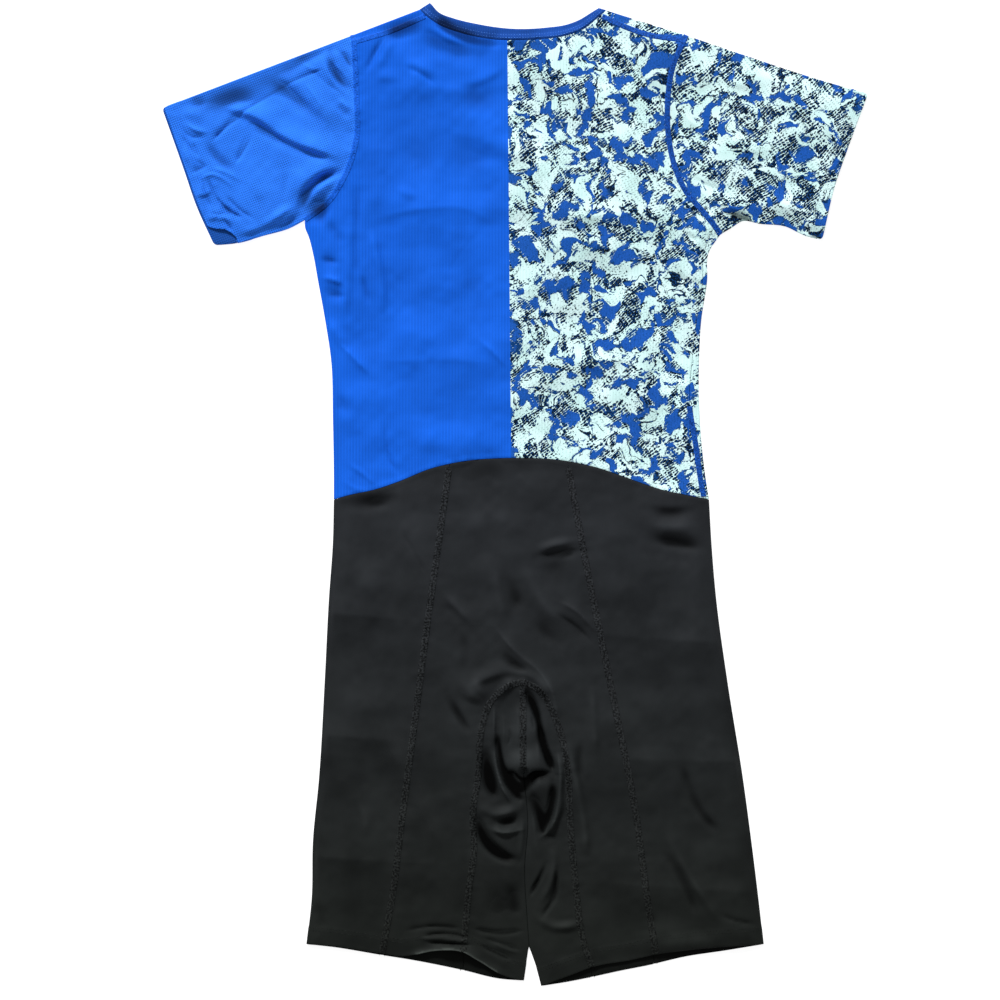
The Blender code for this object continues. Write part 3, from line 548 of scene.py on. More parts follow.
class Pattern:
    """The suit's seams, folds and open edges as smooth curves that its pieces share."""

    def __init__(self, step: float = 3.0, front_scoop: float = 9.0) -> None:
        """Draws every curve, by layer or by side where there are two.

        Args:
            step: how far apart the points of a curve are.
            front_scoop: how much deeper the front armhole is cut than the back one.
        """
        self.step = step
        self.side_seam = self.curve(SIDE_SEAM)
        self.neck_free = self.layered(self.curve, NECK_FREE, FRONT_NECK_FREE)
        self.neck_seam = self.layered(self.curve, NECK_SEAM, FRONT_NECK_SEAM)
        self.waist = self.layered(self.curve, WAIST, FRONT_WAIST)
        self.crotch_seam = self.layered(self.curve, (CROTCH_TOP, CROTCH), (FRONT_INSEAM[LEFT][-1], CROTCH))
        self.inseam = self.layered(self.pair, INSEAM, FRONT_INSEAM)
        self.hem = self.layered(self.pair, HEM, UNDER_HEM)
        self.long_seam = {layer: {hand: self.long_curve(rows, self.hem[layer][hand], hand)
                                  for hand in HANDS}
                          for layer, rows in ((TOP, BACK_LONG_SEAMS), (UNDER, FRONT_LONG_SEAMS))}
        self.shoulder_seam, self.sleeve_fold, self.underarm, self.cuff, self.armhole = (
            self.pair(table) for table in (SHOULDER_SEAM, SLEEVE_FOLD, UNDERARM, CUFF, ARMHOLE))
        # the armhole from the point of the shoulder, and the front one cut deeper
        self.whole_armhole = {TOP: {}, UNDER: {}}
        for hand, inwards in zip(HANDS, (1, -1)):
            line = joined(SHOULDER_POINT[hand], self.armhole[hand])
            bow = inwards * front_scoop * np.sin(np.pi * np.linspace(0, 1, len(line)))
            self.whole_armhole[TOP][hand] = line
            self.whole_armhole[UNDER][hand] = line + np.column_stack([bow, 0 * bow])
        self.shoulder_fold = {hand: self.curve((self.neck_corner(hand), SHOULDER_POINT[hand]))
                              for hand in HANDS}
        self.body_side = {hand: self.curve([ARMHOLE[hand][-1], *ARMPIT[hand],
                                            *self.column([*BODY_SIDES, WAIST_SIDE], hand)])
                          for hand in HANDS}
        self.leg_side = {hand: self.curve(self.column([WAIST_SIDE, *LEG_SIDES, HEM_SIDE], hand))
                         for hand in HANDS}
        self.leg_inside = {hand: joined(self.curve(LEG_SPLIT), self.curve(
            LEG_SPLIT[-1:] + LEG_INSIDE_END[hand])[1:]) for hand in HANDS}

    def curve(self, points: Sequence[Point]) -> Array:
        """A smooth curve at the pattern's own step."""
        return smooth_curve(points, self.step)

    def pair(self, table: dict[Hand, Sequence[Point]]) -> dict[Hand, Array]:
        """The left and the right curve of a table."""
        return {hand: self.curve(table[hand]) for hand in HANDS}

    @staticmethod
    def layered(draw: Callable, top: object, under: object) -> dict[Layer, object]:
        """What is drawn for the top and for the under layer."""
        return {TOP: draw(top), UNDER: draw(under)}

    @staticmethod
    def column(rows: Sequence[tuple[float, float, float]], hand: Hand) -> list[Point]:
        """The (across, up) points of one side of a table of sides."""
        return [(left if hand is LEFT else right, up) for up, left, right in rows]

    @staticmethod
    def neck_corner(hand: Hand) -> Point:
        """Where the shoulder's fold meets the neck binding."""
        return NECK_SEAM[0] if hand is LEFT else NECK_SEAM[-1]

    def long_curve(self, rows: Sequence[tuple[float, float, float]], hem: Array, hand: Hand) -> Array:
        """A seam down the shorts from the waist to its place on the hem."""
        end = tuple(hem[np.abs(hem[:, 0] - LONG_SEAM_ENDS[hand]).argmin()])
        return self.curve(self.column(rows, hand) + [end])

    def folds(self) -> list[Array]:
        """Every line where the top layer turns under.

        Returns:
            the folds, as lines.
        """
        return [line for table in (self.shoulder_fold, self.sleeve_fold, self.underarm,
                                   self.body_side, self.leg_side, self.leg_inside)
                for line in table.values()]

    def open_edges(self) -> list[Array]:
        """Every open edge of the top layer."""
        return [self.neck_free[TOP], *self.cuff.values(), *self.hem[TOP].values()]

    def top_seams(self) -> list[Array]:
        """Every seam that shows on the top layer.

        Returns:
            the seams, as lines.
        """
        return [self.neck_seam[TOP], self.waist[TOP], self.side_seam, self.crotch_seam[TOP],
                *self.shoulder_seam.values(), *self.armhole.values(),
                *self.long_seam[TOP].values(), *self.inseam[TOP].values()]


@dataclass
class Relief:
    """Height of the middle of the cloth, over the whole laid suit."""

    pattern: Pattern
    creases: Sequence[Crease]
    under_level: float = 0.75
    top_level: float = 2.25
    puff: float = 2.0  # the top layer stands this much higher away from its edges
    puff_reach: float = 18.0  # and comes down over this distance
    open_share: float = 0.3  # share of the puff that is left at an open edge
    crease_reach: float = 6.0  # creases die out over this distance from a fold
    lowest: float = -0.3  # how far the top layer may sink below its own level
    swell: float = 1.8  # height of the soft unevenness all over
    pucker: float = 0.42  # height of the gathers along a seam
    pucker_reach: float = 9.0
    fold_margin: float = 1.1
    binding_rise: float = 1.0  # the neck binding stands this much over the panel
    binding_width: float = 5.0
    dark_depth: float = 6.0  # a crease of this depth gets nearly the full painted shade
    ridge_height: float = 4.0  # beside a ridge as high as this, most of the painted shade is taken away
    crest_height: float = 7.5  # a crest as high as this gets the full painted highlight
    narrow: float = 7.5  # widths up to this are a ridge's
    lip_width: float = 1.2  # the painted highlight along the hem's open edge spreads over this width
    # how strong that painted highlight is
    lip_light: float = 6.0

    def __post_init__(self) -> None:
        """Draws the lines that the height depends on."""
        self.folds, self.edges = self.pattern.folds(), self.pattern.open_edges()
        self.seams = self.pattern.top_seams()
        self.middle = (self.top_level + self.under_level) / 2
        # the stretch of the left hem's open edge that gets a painted highlight
        self.lip = between(self.pattern.hem[TOP][LEFT], (-106, -506), (-18, -523))
        self.paths = [smooth_curve(crease.path, 4.0) for crease in self.creases]

    def height(self, at: Array) -> Array:
        """Height of the middle of the top layer's cloth at each point.

        Args:
            at: the points, seen from above.

        Returns:
            height in millimetres at each point.
        """
        from_fold = self.nearest(at, self.folds, self.puff_reach + 2) - self.fold_margin
        from_edge = self.nearest(at, self.edges, self.puff_reach + 2)
        inside = ease(from_fold / self.puff_reach)
        share = self.open_share + (1 - self.open_share) * ease(from_edge / self.puff_reach)
        rise = self.puff * np.minimum(inside, share)
        bent = self.swells(at) * inside
        for crease, path in zip(self.creases, self.paths):
            bent += self.crease_height(at, crease, path)
        for number, seam in enumerate(self.seams):
            bent += self.gathers(at, seam, number)
        distance, side, _ = nearness(at, self.pattern.neck_seam[TOP], 4 * self.binding_width)
        bent += self.binding_rise * (side > 0) * ease(distance / 0.8) * np.exp(
            -(distance / self.binding_width)**2)
        return self.top_level + np.maximum(self.lowest * ease(from_fold / 4),
                                           rise + bent * ease(from_fold / self.crease_reach))

    def hollow(self, at: Array) -> Array:
        """Painted shade in the depth of a crease, up to 1, or painted highlight, below nought, on a crest
        and along the hem's lip.

        Args:
            at: the points, seen from above.

        Returns:
            a number for each point.
        """
        sunk, narrow, wide = np.zeros((3, len(at)))
        for crease, path in zip(self.creases, self.paths):
            height = self.crease_height(at, crease, path)
            if crease.height < 0:
                sunk -= height
            elif max(crease.left, crease.right) <= self.narrow:
                narrow += height
            elif not crease.keen:
                wide += height
        # painted shade in the troughs, mostly taken away beside a narrow ridge
        dark = ease(sunk / self.dark_depth) * (1 - 0.8 * ease(narrow / self.ridge_height))
        # painted highlight along the open edge of the left hem
        lip = np.exp(-(nearness(at, self.lip, 6)[0] / self.lip_width)**2)
        # painted highlight on crests, where there is no painted shade
        return dark - (1 - dark) * (ease((narrow + wide) / self.crest_height) + self.lip_light * lip)

    def mark(self, obj: Object) -> None:
        """Gives an object's points their painted shade and painted highlight from the creases.

        Args:
            obj: the piece, whose mesh gets the attribute.
        """
        spots = np.empty(3 * len(obj.data.vertices))
        obj.data.vertices.foreach_get("co", spots)
        spots = spots.reshape(-1, 3) / METRES + (CENTRE_OFFSET, 0, 0)
        deep = np.zeros(len(spots))
        upper = spots[:, 2] > self.middle
        if upper.any():
            cells, cell = np.unique(np.round(spots[upper, :2] * 2) / 2, axis=0, return_inverse=True)
            deep[upper] = self.hollow(cells)[cell.ravel()]
        obj.data.attributes.new(PAINTED_SHADING, "FLOAT", "POINT").data.foreach_set("value", deep)

    @staticmethod
    def nearest(at: Array, lines: Sequence[Array], reach: float) -> Array:
        """Distance from each point to the nearest of several lines."""
        return np.min([nearness(at, line, reach)[0] for line in lines], axis=0)

    @staticmethod
    def crease_height(at: Array, crease: Crease, path: Array) -> Array:
        """What one crease adds at each point: it dies out towards its ends, unevenly.

        Args:
            at: the points, seen from above.
            crease: its height and widths.
            path: its middle line.

        Returns:
            height in millimetres at each point.
        """
        reach = 3 * max(crease.left, crease.right)
        distance, side, along = nearness(at, path, reach)
        length = stations(path)[-1]
        width = np.where(side > 0, crease.left, crease.right)
        profile = np.exp(-1.3 * distance / width) if crease.keen else np.exp(-(distance / width)**2)
        profile *= ease((reach - distance) / reach * 1.5)
        fade = min(0.4 * length, 5 * min(crease.left, crease.right))
        ends = 0.12 + 0.88 * np.minimum(ease(along / fade), ease((length - along) / fade))
        uneven = 1 + 0.22 * np.sin(along / 13 + length) + 0.1 * np.sin(along / 5.1 + 2 * length)
        return crease.height * profile * ends * uneven

    def swells(self, at: Array) -> Array:
        """The soft unevenness of cloth that was folded away and then smoothed out.

        Args:
            at: the points, seen from above.

        Returns:
            height in millimetres at each point.
        """
        slanted = at @ np.array([[0.94, -0.34], [0.34, 0.94]])
        return self.swell * (smooth_noise(slanted * (1, 0.45), 34, 3)
                             + 0.55 * smooth_noise(at * (0.7, 1), 21, 11) + 0.16 * smooth_noise(at, 9, 29))

    def gathers(self, at: Array, seam: Array, number: int) -> Array:
        """The small puckers across a seam and the slight rise of its inner edges.

        Args:
            at: the points, seen from above.
            seam: the seam.
            number: its number, so that no two pucker alike.

        Returns:
            height in millimetres at each point.
        """
        distance, side, along = nearness(at, seam, 3 * self.pucker_reach)
        waves = smooth_noise(np.column_stack([along + 40 * side, distance * 0.3]), 5.5, 50 + number)
        fade = np.exp(-distance / self.pucker_reach)
        return self.pucker * waves * fade + 0.3 * ease((5.2 - distance) / 1.6)


@dataclass(frozen=True)
class Edge:
    """A stretch of a sheet's outline; the fold's name says which edges it joins."""

    kind: Run
    line: Array
    fold: str = ""


@dataclass(frozen=True)
class Sheet:
    """Cloth that lies in one layer, inside a closed outline."""

    layer: Layer
    edges: tuple[Edge, ...]


@dataclass(frozen=True)
class Cut:
    """A cut piece of cloth: its sheets, its mesh sizes and its cloth."""

    name: str
    sheets: tuple[Sheet, ...]
    top_cell: float = 2.5
    under_cell: float = 6.0
    cloth: float = 0.7
    hem_cloth: float = 1.25
    hem_width: float = 0.0
    lean: float = 0.0  # how far its top layer leans over the gap between the legs
    overlap: float = 0.0  # how far it lies over its neighbours at its seams


@dataclass
class Shell:
    """The middle surface of a piece of cloth while it is being put together.

    Its columns are the points, their place on the cut as the top layer and as the under layer
    has it, their thickness, and how far an edge bulges outwards.
    """

    columns: list[list[Array]] = field(default_factory=lambda: [[], [], [], [], []])
    faces: list[tuple[int, ...]] = field(default_factory=list)
    layers: list[Layer] = field(default_factory=list)  # of each face

    def add(self, *values: Array) -> Array:
        """Adds points, with what each column has for them, and returns their numbers.

        Args:
            *values: a row or a number for each point, column by column.

        Returns:
            their numbers.
        """
        start = sum(len(part) for part in self.columns[0])
        for column, value in zip(self.columns, values):
            column.append(np.asarray(value, float))
        return np.arange(start, start + len(values[0]))

    def whole(self) -> list[Array]:
        """The columns, each in one."""
        return [np.concatenate(column) for column in self.columns]


def new_object(name: str, data: bpy.types.ID) -> Object:
    """A new object in the scene.

    Args:
        name: its name.
        data: its mesh, light or camera.

    Returns:
        the object.
    """
    obj = bpy.data.objects.new(name, data)
    bpy.context.scene.collection.objects.link(obj)
    return obj


def mesh_object(name: str, points: Array, faces: Sequence[Sequence[int]], material: Material) -> Object:
    """A smooth mesh object at the origin, from points in millimetres.

    Args:
        name: its name.
        points: its points.
        faces: the numbers of each face's points.
        material: its finish.

    Returns:
        the object.
    """
    mesh = bpy.data.meshes.new(name)
    own = (points - (CENTRE_OFFSET, 0, 0)) * METRES
    mesh.from_pydata(own.tolist(), [], [list(map(int, face)) for face in faces])
    mesh.shade_smooth()
    mesh.materials.append(material)
    return new_object(name, mesh)


def unmade(obj: Object) -> Model:
    """Takes an object away again and gives its points and faces.

    Args:
        obj: the object.

    Returns:
        its points in millimetres and its faces.
    """
    mesh = obj.data
    model = (np.array([tuple(vert.co) for vert in mesh.vertices]),
             [list(face.vertices) for face in mesh.polygons])
    bpy.data.objects.remove(obj, do_unlink=True)
    bpy.data.meshes.remove(mesh)
    return model


def keep_map(obj: Object, uv: Array) -> None:
    """Gives an object a flat map for its finish, named OFBake."""
    obj.data.uv_layers.new(name="OFBake").data.foreach_set("uv", uv.astype(np.float32).ravel())


class ClothMaker:
    """Makes a cut piece of cloth as a closed shell with rounded edges."""

    def __init__(self, relief: Relief, fold_steps: int = 6, seam_gap: float = 0.3,
                 fold_start: float = 1.0, corner_turn: float = 0.6) -> None:
        """Keeps what every piece shares.

        Args:
            relief: the height of the top layer.
            fold_steps: facets round a fold.
            seam_gap: space between two pieces at a seam.
            fold_start: a fold that carries on a seam's line starts this far along it.
            corner_turn: sine of the turn from which two runs of an outline meet in a corner.
        """
        self.relief, self.fold_steps, self.seam_gap = relief, fold_steps, seam_gap
        self.fold_radius = (relief.top_level - relief.under_level) / 2
        self.fold_start, self.corner_turn = fold_start, corner_turn
        self.bulge = {SEAM: 0.33, OPEN: 0.5, FOLD: 0.33}
        self.margins = {SEAM: seam_gap / 2 + self.bulge[SEAM], OPEN: self.bulge[OPEN],
                        FOLD: relief.fold_margin}

    def outline(self, sheet: Sheet, overlap: float) -> tuple[Array, list[Edge]]:
        """A sheet's outline inside its seams, edges and folds.

        Args:
            sheet: the sheet.
            overlap: how far it goes past its seams.

        Returns:
            The outline's points, anticlockwise, and the edge that starts at each.
        """
        runs = [(a, b, edge) for edge in sheet.edges for a, b in zip(edge.line, edge.line[1:])
                if np.linalg.norm(b - a) > self.seam_gap]
        if sum(turn(a, b) for a, b, _ in runs) < 0:
            runs = [(b, a, edge) for a, b, edge in reversed(runs)]
        steps = []
        for a, b, edge in runs:
            way = unit(b - a)
            between_legs = self.seam_gap * edge.fold.startswith("inside")
            margin = self.margins[edge.kind] + between_legs - overlap * (edge.kind is SEAM)
            steps.append((a, way, np.array((-way[1], way[0])) * margin, margin, edge))
        rim: list[tuple[Array, Edge]] = []
        for (_, way1, in1, margin1, _), (corner, way2, in2, margin2, edge) in zip(
                steps[-1:] + steps[:-1], steps):
            bend = turn(way1, way2)
            if abs(bend) > self.corner_turn:
                rim.append((corner + in1 + way1 * turn(in2 - in1, way2) / bend, edge))
            elif abs(margin1 - margin2) < 1e-6:
                rim.append((corner + (in1 + in2) / 2, edge))
            else:
                back, ahead = (-self.fold_start, 0) if margin1 > margin2 else (0, self.fold_start)
                rim += [(corner + in1 + way1 * back, Edge(SEAM, edge.line)),
                        (corner + in2 + way2 * ahead, edge)]
        return np.array([point for point, _ in rim]), [edge for _, edge in rim]

    @staticmethod
    def inside(at: Array, outline: Array) -> Array:
        """Which points lie inside a closed outline.

        Args:
            at: the points, seen from above.
            outline: its corners.

        Returns:
            yes or no for each point.
        """
        odd = np.zeros(len(at), bool)
        for a, b in zip(np.roll(outline, 1, axis=0), outline):
            crosses = (a[1] > at[:, 1]) != (b[1] > at[:, 1])
            if crosses.any():
                odd ^= crosses & (at[:, 0] < a[0] + (b[0] - a[0]) * (at[:, 1] - a[1]) / (b[1] - a[1]))
        return odd

    def fill(self, outline: Array, cell: float) -> tuple[Array, list[list[int]], list[int]]:
        """Fills an outline with triangles on a staggered lattice.

        Args:
            outline: the outline's points, anticlockwise.
            cell: how far apart the lattice's points are.

        Returns:
            The points, the triangles, and the number that each outline point was given.
        """
        tall = cell * math.sqrt(3) / 2
        first = np.floor(outline.min(0) / (cell, tall)).astype(int)
        last = np.ceil(outline.max(0) / (cell, tall)).astype(int) + 1
        columns, rows = (np.arange(*ends) for ends in zip(first, last))
        x, y = np.meshgrid(columns * cell, rows * tall)
        x = x + (rows % 2 * cell / 2)[:, None]
        lattice = np.column_stack([x.ravel(), y.ravel()])
        lattice = lattice[self.inside(lattice, outline)]
        closed = np.vstack([outline, outline[:1]])
        lattice = lattice[nearness(lattice, closed, cell)[0] > 0.5 * cell]
        points, _, faces, sources, _, _ = delaunay_2d_cdt(
            [Vector(point) for point in np.vstack([outline, lattice])], [],
            [list(range(len(outline)))], 1, 1e-5)
        place = {old: new for new, olds in enumerate(sources) for old in olds}
        return (np.array([tuple(point) for point in points]), faces,
                [place[i] for i in range(len(outline))])

    def build(self, cut: Cut, material: Material) -> tuple[Object, float]:
        """One cut piece as an object, and the area of its cloth in square metres.

        Args:
            cut: the piece.
            material: its finish.

        Returns:
            the object and the area.
        """
        shell = Shell()
        folds: dict[str, list[Array]] = {}
        for sheet in cut.sheets:
            for name, run in self.add_sheet(shell, cut, sheet).items():
                folds.setdefault(name, []).append(run)
        for name, (one, other) in folds.items():
            if len(one) != len(other):
                raise ValueError(f"{cut.name}: the two sides of {name} do not match")
            level = shell.whole()[0][:, 2]
            top, under = (one, other) if level[one[0]] > level[other[0]] else (other, one)
            self.add_fold(shell, top, under)
        if cut.lean:
            shell.columns[0] = [self.leant(shell.whole()[0], cut.lean)]
        obj, area = self.thicken(cut.name, shell, material)
        # painted shade and painted highlight of the creases, as an attribute of the mesh
        self.relief.mark(obj)
        return obj, area

    def add_sheet(self, shell: Shell, cut: Cut, sheet: Sheet) -> dict[str, Array]:
        """Adds a sheet to a shell and gives the numbers of the points along each fold.

        Args:
            shell: what it is added to.
            cut: the piece.
            sheet: the sheet.

        Returns:
            the numbers, by the fold's name.
        """
        outline, edges = self.outline(sheet, cut.overlap)
        top = sheet.layer is TOP
        points, faces, rim = self.fill(outline, cut.top_cell if top else cut.under_cell)
        level = np.full(len(points), self.relief.top_level if top else self.relief.under_level)
        bulge = np.full(len(points), self.bulge[SEAM])
        runs: dict[str, list[int]] = {}
        for i, (edge, number) in enumerate(zip(edges, rim)):
            if edge.kind is FOLD:
                run = runs.setdefault(edge.fold, [])
                run += [k for k in (number, rim[(i + 1) % len(rim)]) if k not in run]
            elif edge.kind is OPEN and i and edges[i - 1].kind is OPEN:
                bulge[number] = self.bulge[OPEN]
        if top:
            free = np.ones(len(points), bool)
            free[[k for run in runs.values() for k in run]] = False
            level[free] = self.relief.height(points[free])
        start = shell.add(np.column_stack([points, level]), points, points,
                          self.thickness(cut, sheet, points), bulge)[0]
        for face in faces:
            a, b, c = (points[k] for k in face[:3])
            ordered = face if (turn(b - a, c - a) > 0) == top else face[::-1]
            shell.faces.append(tuple(start + k for k in ordered))
            shell.layers.append(sheet.layer)
        return {name: start + np.array(run) for name, run in runs.items()}

    def leant(self, points: Array, lean: float, reach: float = 14.0, start: float = -504.0,
              rise: float = 12.0) -> Array:
        """Cloth pressed aslant beside the gap between the legs, so that no floor shows in it.

        Args:
            points: the cloth's points.
            lean: how far the top layer goes to the right of the middle.
            reach: the lean dies out over this distance from the gap.
            start: how far up the legs it begins.
            rise: it grows over this distance.

        Returns:
            the points, pressed aslant.
        """
        distance = nearness(points[:, :2], smooth_curve(LEG_SPLIT, 3.0), reach + 2)[0]
        share = ease(1 - distance / reach) * ease((points[:, 1] - start) / rise)
        raised = np.clip((points[:, 2] - self.relief.middle) / self.fold_radius, -1, 1)
        return points + np.outer(lean * share * raised, (1, 0, 0))

    def thickness(self, cut: Cut, sheet: Sheet, points: Array) -> Array:
        """Thickness of the cloth at each point: a hem is turned up, so it is double.

        Args:
            cut: the piece.
            sheet: the sheet.
            points: the places in it.

        Returns:
            the thickness at each.
        """
        thick = np.full(len(points), cut.cloth)
        lines = [edge.line for edge in sheet.edges if edge.kind is OPEN]
        if cut.hem_width and lines:
            depth = Relief.nearest(points, lines, cut.hem_width + 5)
            thick += (cut.hem_cloth - cut.cloth) * ease((cut.hem_width - depth) / 2 + 0.5)
        return thick

    def add_fold(self, shell: Shell, top_run: Array, under_run: Array) -> None:
        """Joins a top sheet to an under sheet by cloth turned round a half circle.

        Args:
            shell: the piece so far.
            top_run: numbers of the top sheet's points, anticlockwise round it.
            under_run: numbers of the under sheet's points below them.
        """
        points, plan, _, thickness, _ = shell.whole()
        out = -left_of(points[top_run, :2])
        middle = (points[top_run] + points[under_run]) / 2
        turned = math.pi * self.fold_radius
        rows = [top_run]
        for share in np.arange(1, self.fold_steps) / self.fold_steps:
            angle = math.pi * share
            place = middle + np.column_stack([out * math.sin(angle), np.full(
                len(out), math.cos(angle))]) * self.fold_radius
            rows.append(shell.add(place, plan[top_run] + out * turned * share,
                                  plan[under_run] + out * turned * (1 - share),
                                  thickness[top_run], np.full(len(place), self.bulge[FOLD])))
        rows.append(under_run)
        for step, (near, far) in enumerate(zip(rows, rows[1:])):
            shell.faces += zip(near[:-1], far[:-1], far[1:], near[1:])
            shell.layers += [TOP if step < self.fold_steps / 2 else UNDER] * (len(near) - 1)

    @staticmethod
    def thicken(name: str, shell: Shell, material: Material, rim_steps: int = 3) -> tuple[Object, float]:
        """Gives the middle surface its thickness, with rounded edges.

        Args:
            name: the piece's name.
            shell: its middle surface.
            material: its cloth.
            rim_steps: rows of points round an edge.

        Returns:
            The object, and the area of the middle surface in square metres.
        """
        middle, plan, under_plan, thickness, rim = shell.whole()
        half, count = thickness[:, None] / 2, len(middle)
        triangles = np.array([(f[0], f[i], f[i + 1]) for f in shell.faces for i in range(1, len(f) - 1)])
        a, b, c = (middle[triangles[:, i]] for i in range(3))
        crosses = np.cross(b - a, c - a)
        normals = np.zeros_like(middle)
        for i in range(3):
            np.add.at(normals, triangles[:, i], crosses)
        normals = unit(normals)
        used = {(f[i], f[(i + 1) % len(f)]): number for number, f in enumerate(shell.faces)
                for i in range(len(f))}
        border = [(u, v, number) for (u, v), number in used.items() if (v, u) not in used]
        outward = np.zeros_like(middle)
        for u, v, _ in border:
            outward[[u, v]] += np.cross(unit(middle[v] - middle[u]), normals[u] + normals[v])
        on_border = np.unique([k for u, v, _ in border for k in (u, v)])
        out = unit(outward[on_border]) * rim[on_border, None]
        points = [middle + normals * half, middle - normals * half]
        for angle in math.pi * np.arange(1, rim_steps + 1) / (rim_steps + 1):
            points.append(middle[on_border] + out * math.sin(angle)
                          + (normals * half)[on_border] * math.cos(angle))
        slot = {int(k): i for i, k in enumerate(on_border)}

        def rim_row(k: int, step: int) -> int:
            """Number of the point at a step round the edge, from the outer side to the inner.

            Args:
                k: the point's number along the edge.
                step: 0 at the outer side.

            Returns:
                its number in the shell.
            """
            if step in (0, rim_steps + 1):
                return k + (count if step else 0)
            return 2 * count + (step - 1) * len(on_border) + slot[k]

        faces = [list(f) for f in shell.faces]
        faces += [[k + count for k in reversed(f)] for f in shell.faces]
        tags = [(layer, outer) for outer in (True, False) for layer in shell.layers]
        for u, v, number in border:
            for step in range(rim_steps + 1):
                faces.append([rim_row(v, step), rim_row(u, step), rim_row(u, step + 1),
                              rim_row(v, step + 1)])
                tags.append((shell.layers[number], step <= rim_steps / 2))
        obj = mesh_object(name, np.vstack(points), faces, material)
        owner = np.concatenate([np.arange(count)] * 2 + [on_border] * rim_steps).astype(int)
        ClothMaker.lay_out(obj, faces, tags, plan[owner], under_plan[owner])
        # inner faces get an attribute by which the finish darkens them, as painted shade
        wrong_side = obj.data.attributes.new(WRONG_SIDE_PAINTED_SHADE, "FLOAT", "FACE")
        wrong_side.data.foreach_set("value", [0.0 if outer else 1.0 for _, outer in tags])
        return obj, float(np.linalg.norm(crosses, axis=1).sum() / 2) * METRES**2

    @staticmethod
    def lay_out(obj: Object, faces: Sequence[Sequence[int]], tags: Sequence[tuple[Layer, bool]],
                plan: Array, under_plan: Array, inner_share: float = 0.4, gap: float = 0.01) -> None:
        """Lays the piece's cloth out flat as a map for its finish.

        Args:
            obj: the piece.
            faces: its faces.
            tags: the layer of each face, and whether it is on the outer side.
            plan: place of each point on the cut, on the top layer's side.
            under_plan: the same on the under layer's side.
            inner_share: how large the inner side is laid out beside the outer one.
            gap: space between the parts of the map.
        """
        corners = np.concatenate(faces)
        kinds = np.repeat([2 * (layer is UNDER) + (not outer) for layer, outer in tags],
                          [len(face) for face in faces])
        flat = np.where((kinds >= 2)[:, None], under_plan[corners], plan[corners])
        if np.ptp(flat[:, 0]) < np.ptp(flat[:, 1]):
            flat = flat[:, ::-1]
        flat = flat * np.where(kinds % 2, inner_share, 1.0)[:, None]
        islands = [kinds == kind for kind in (0, 2, 1, 3) if (kinds == kind).any()]
        spans = [np.ptp(flat[island], axis=0) for island in islands]
        scale = min((1 - 2 * gap) / max(span[0] for span in spans),
                    (1 - (len(spans) + 1) * gap) / sum(span[1] for span in spans))
        uv, base = np.zeros_like(flat), gap
        for island, span in zip(islands, spans):
            uv[island] = (flat[island] - flat[island].min(0)) * scale + (gap, base)
            base += span[1] * scale + gap
        keep_map(obj, uv)


@dataclass(frozen=True)
class Track:
    """Where a seam's threads run: places, the way across it and the way out of the cloth."""

    places: Array
    across: Array
    out: Array


Rows = Sequence[tuple[Track, float]]


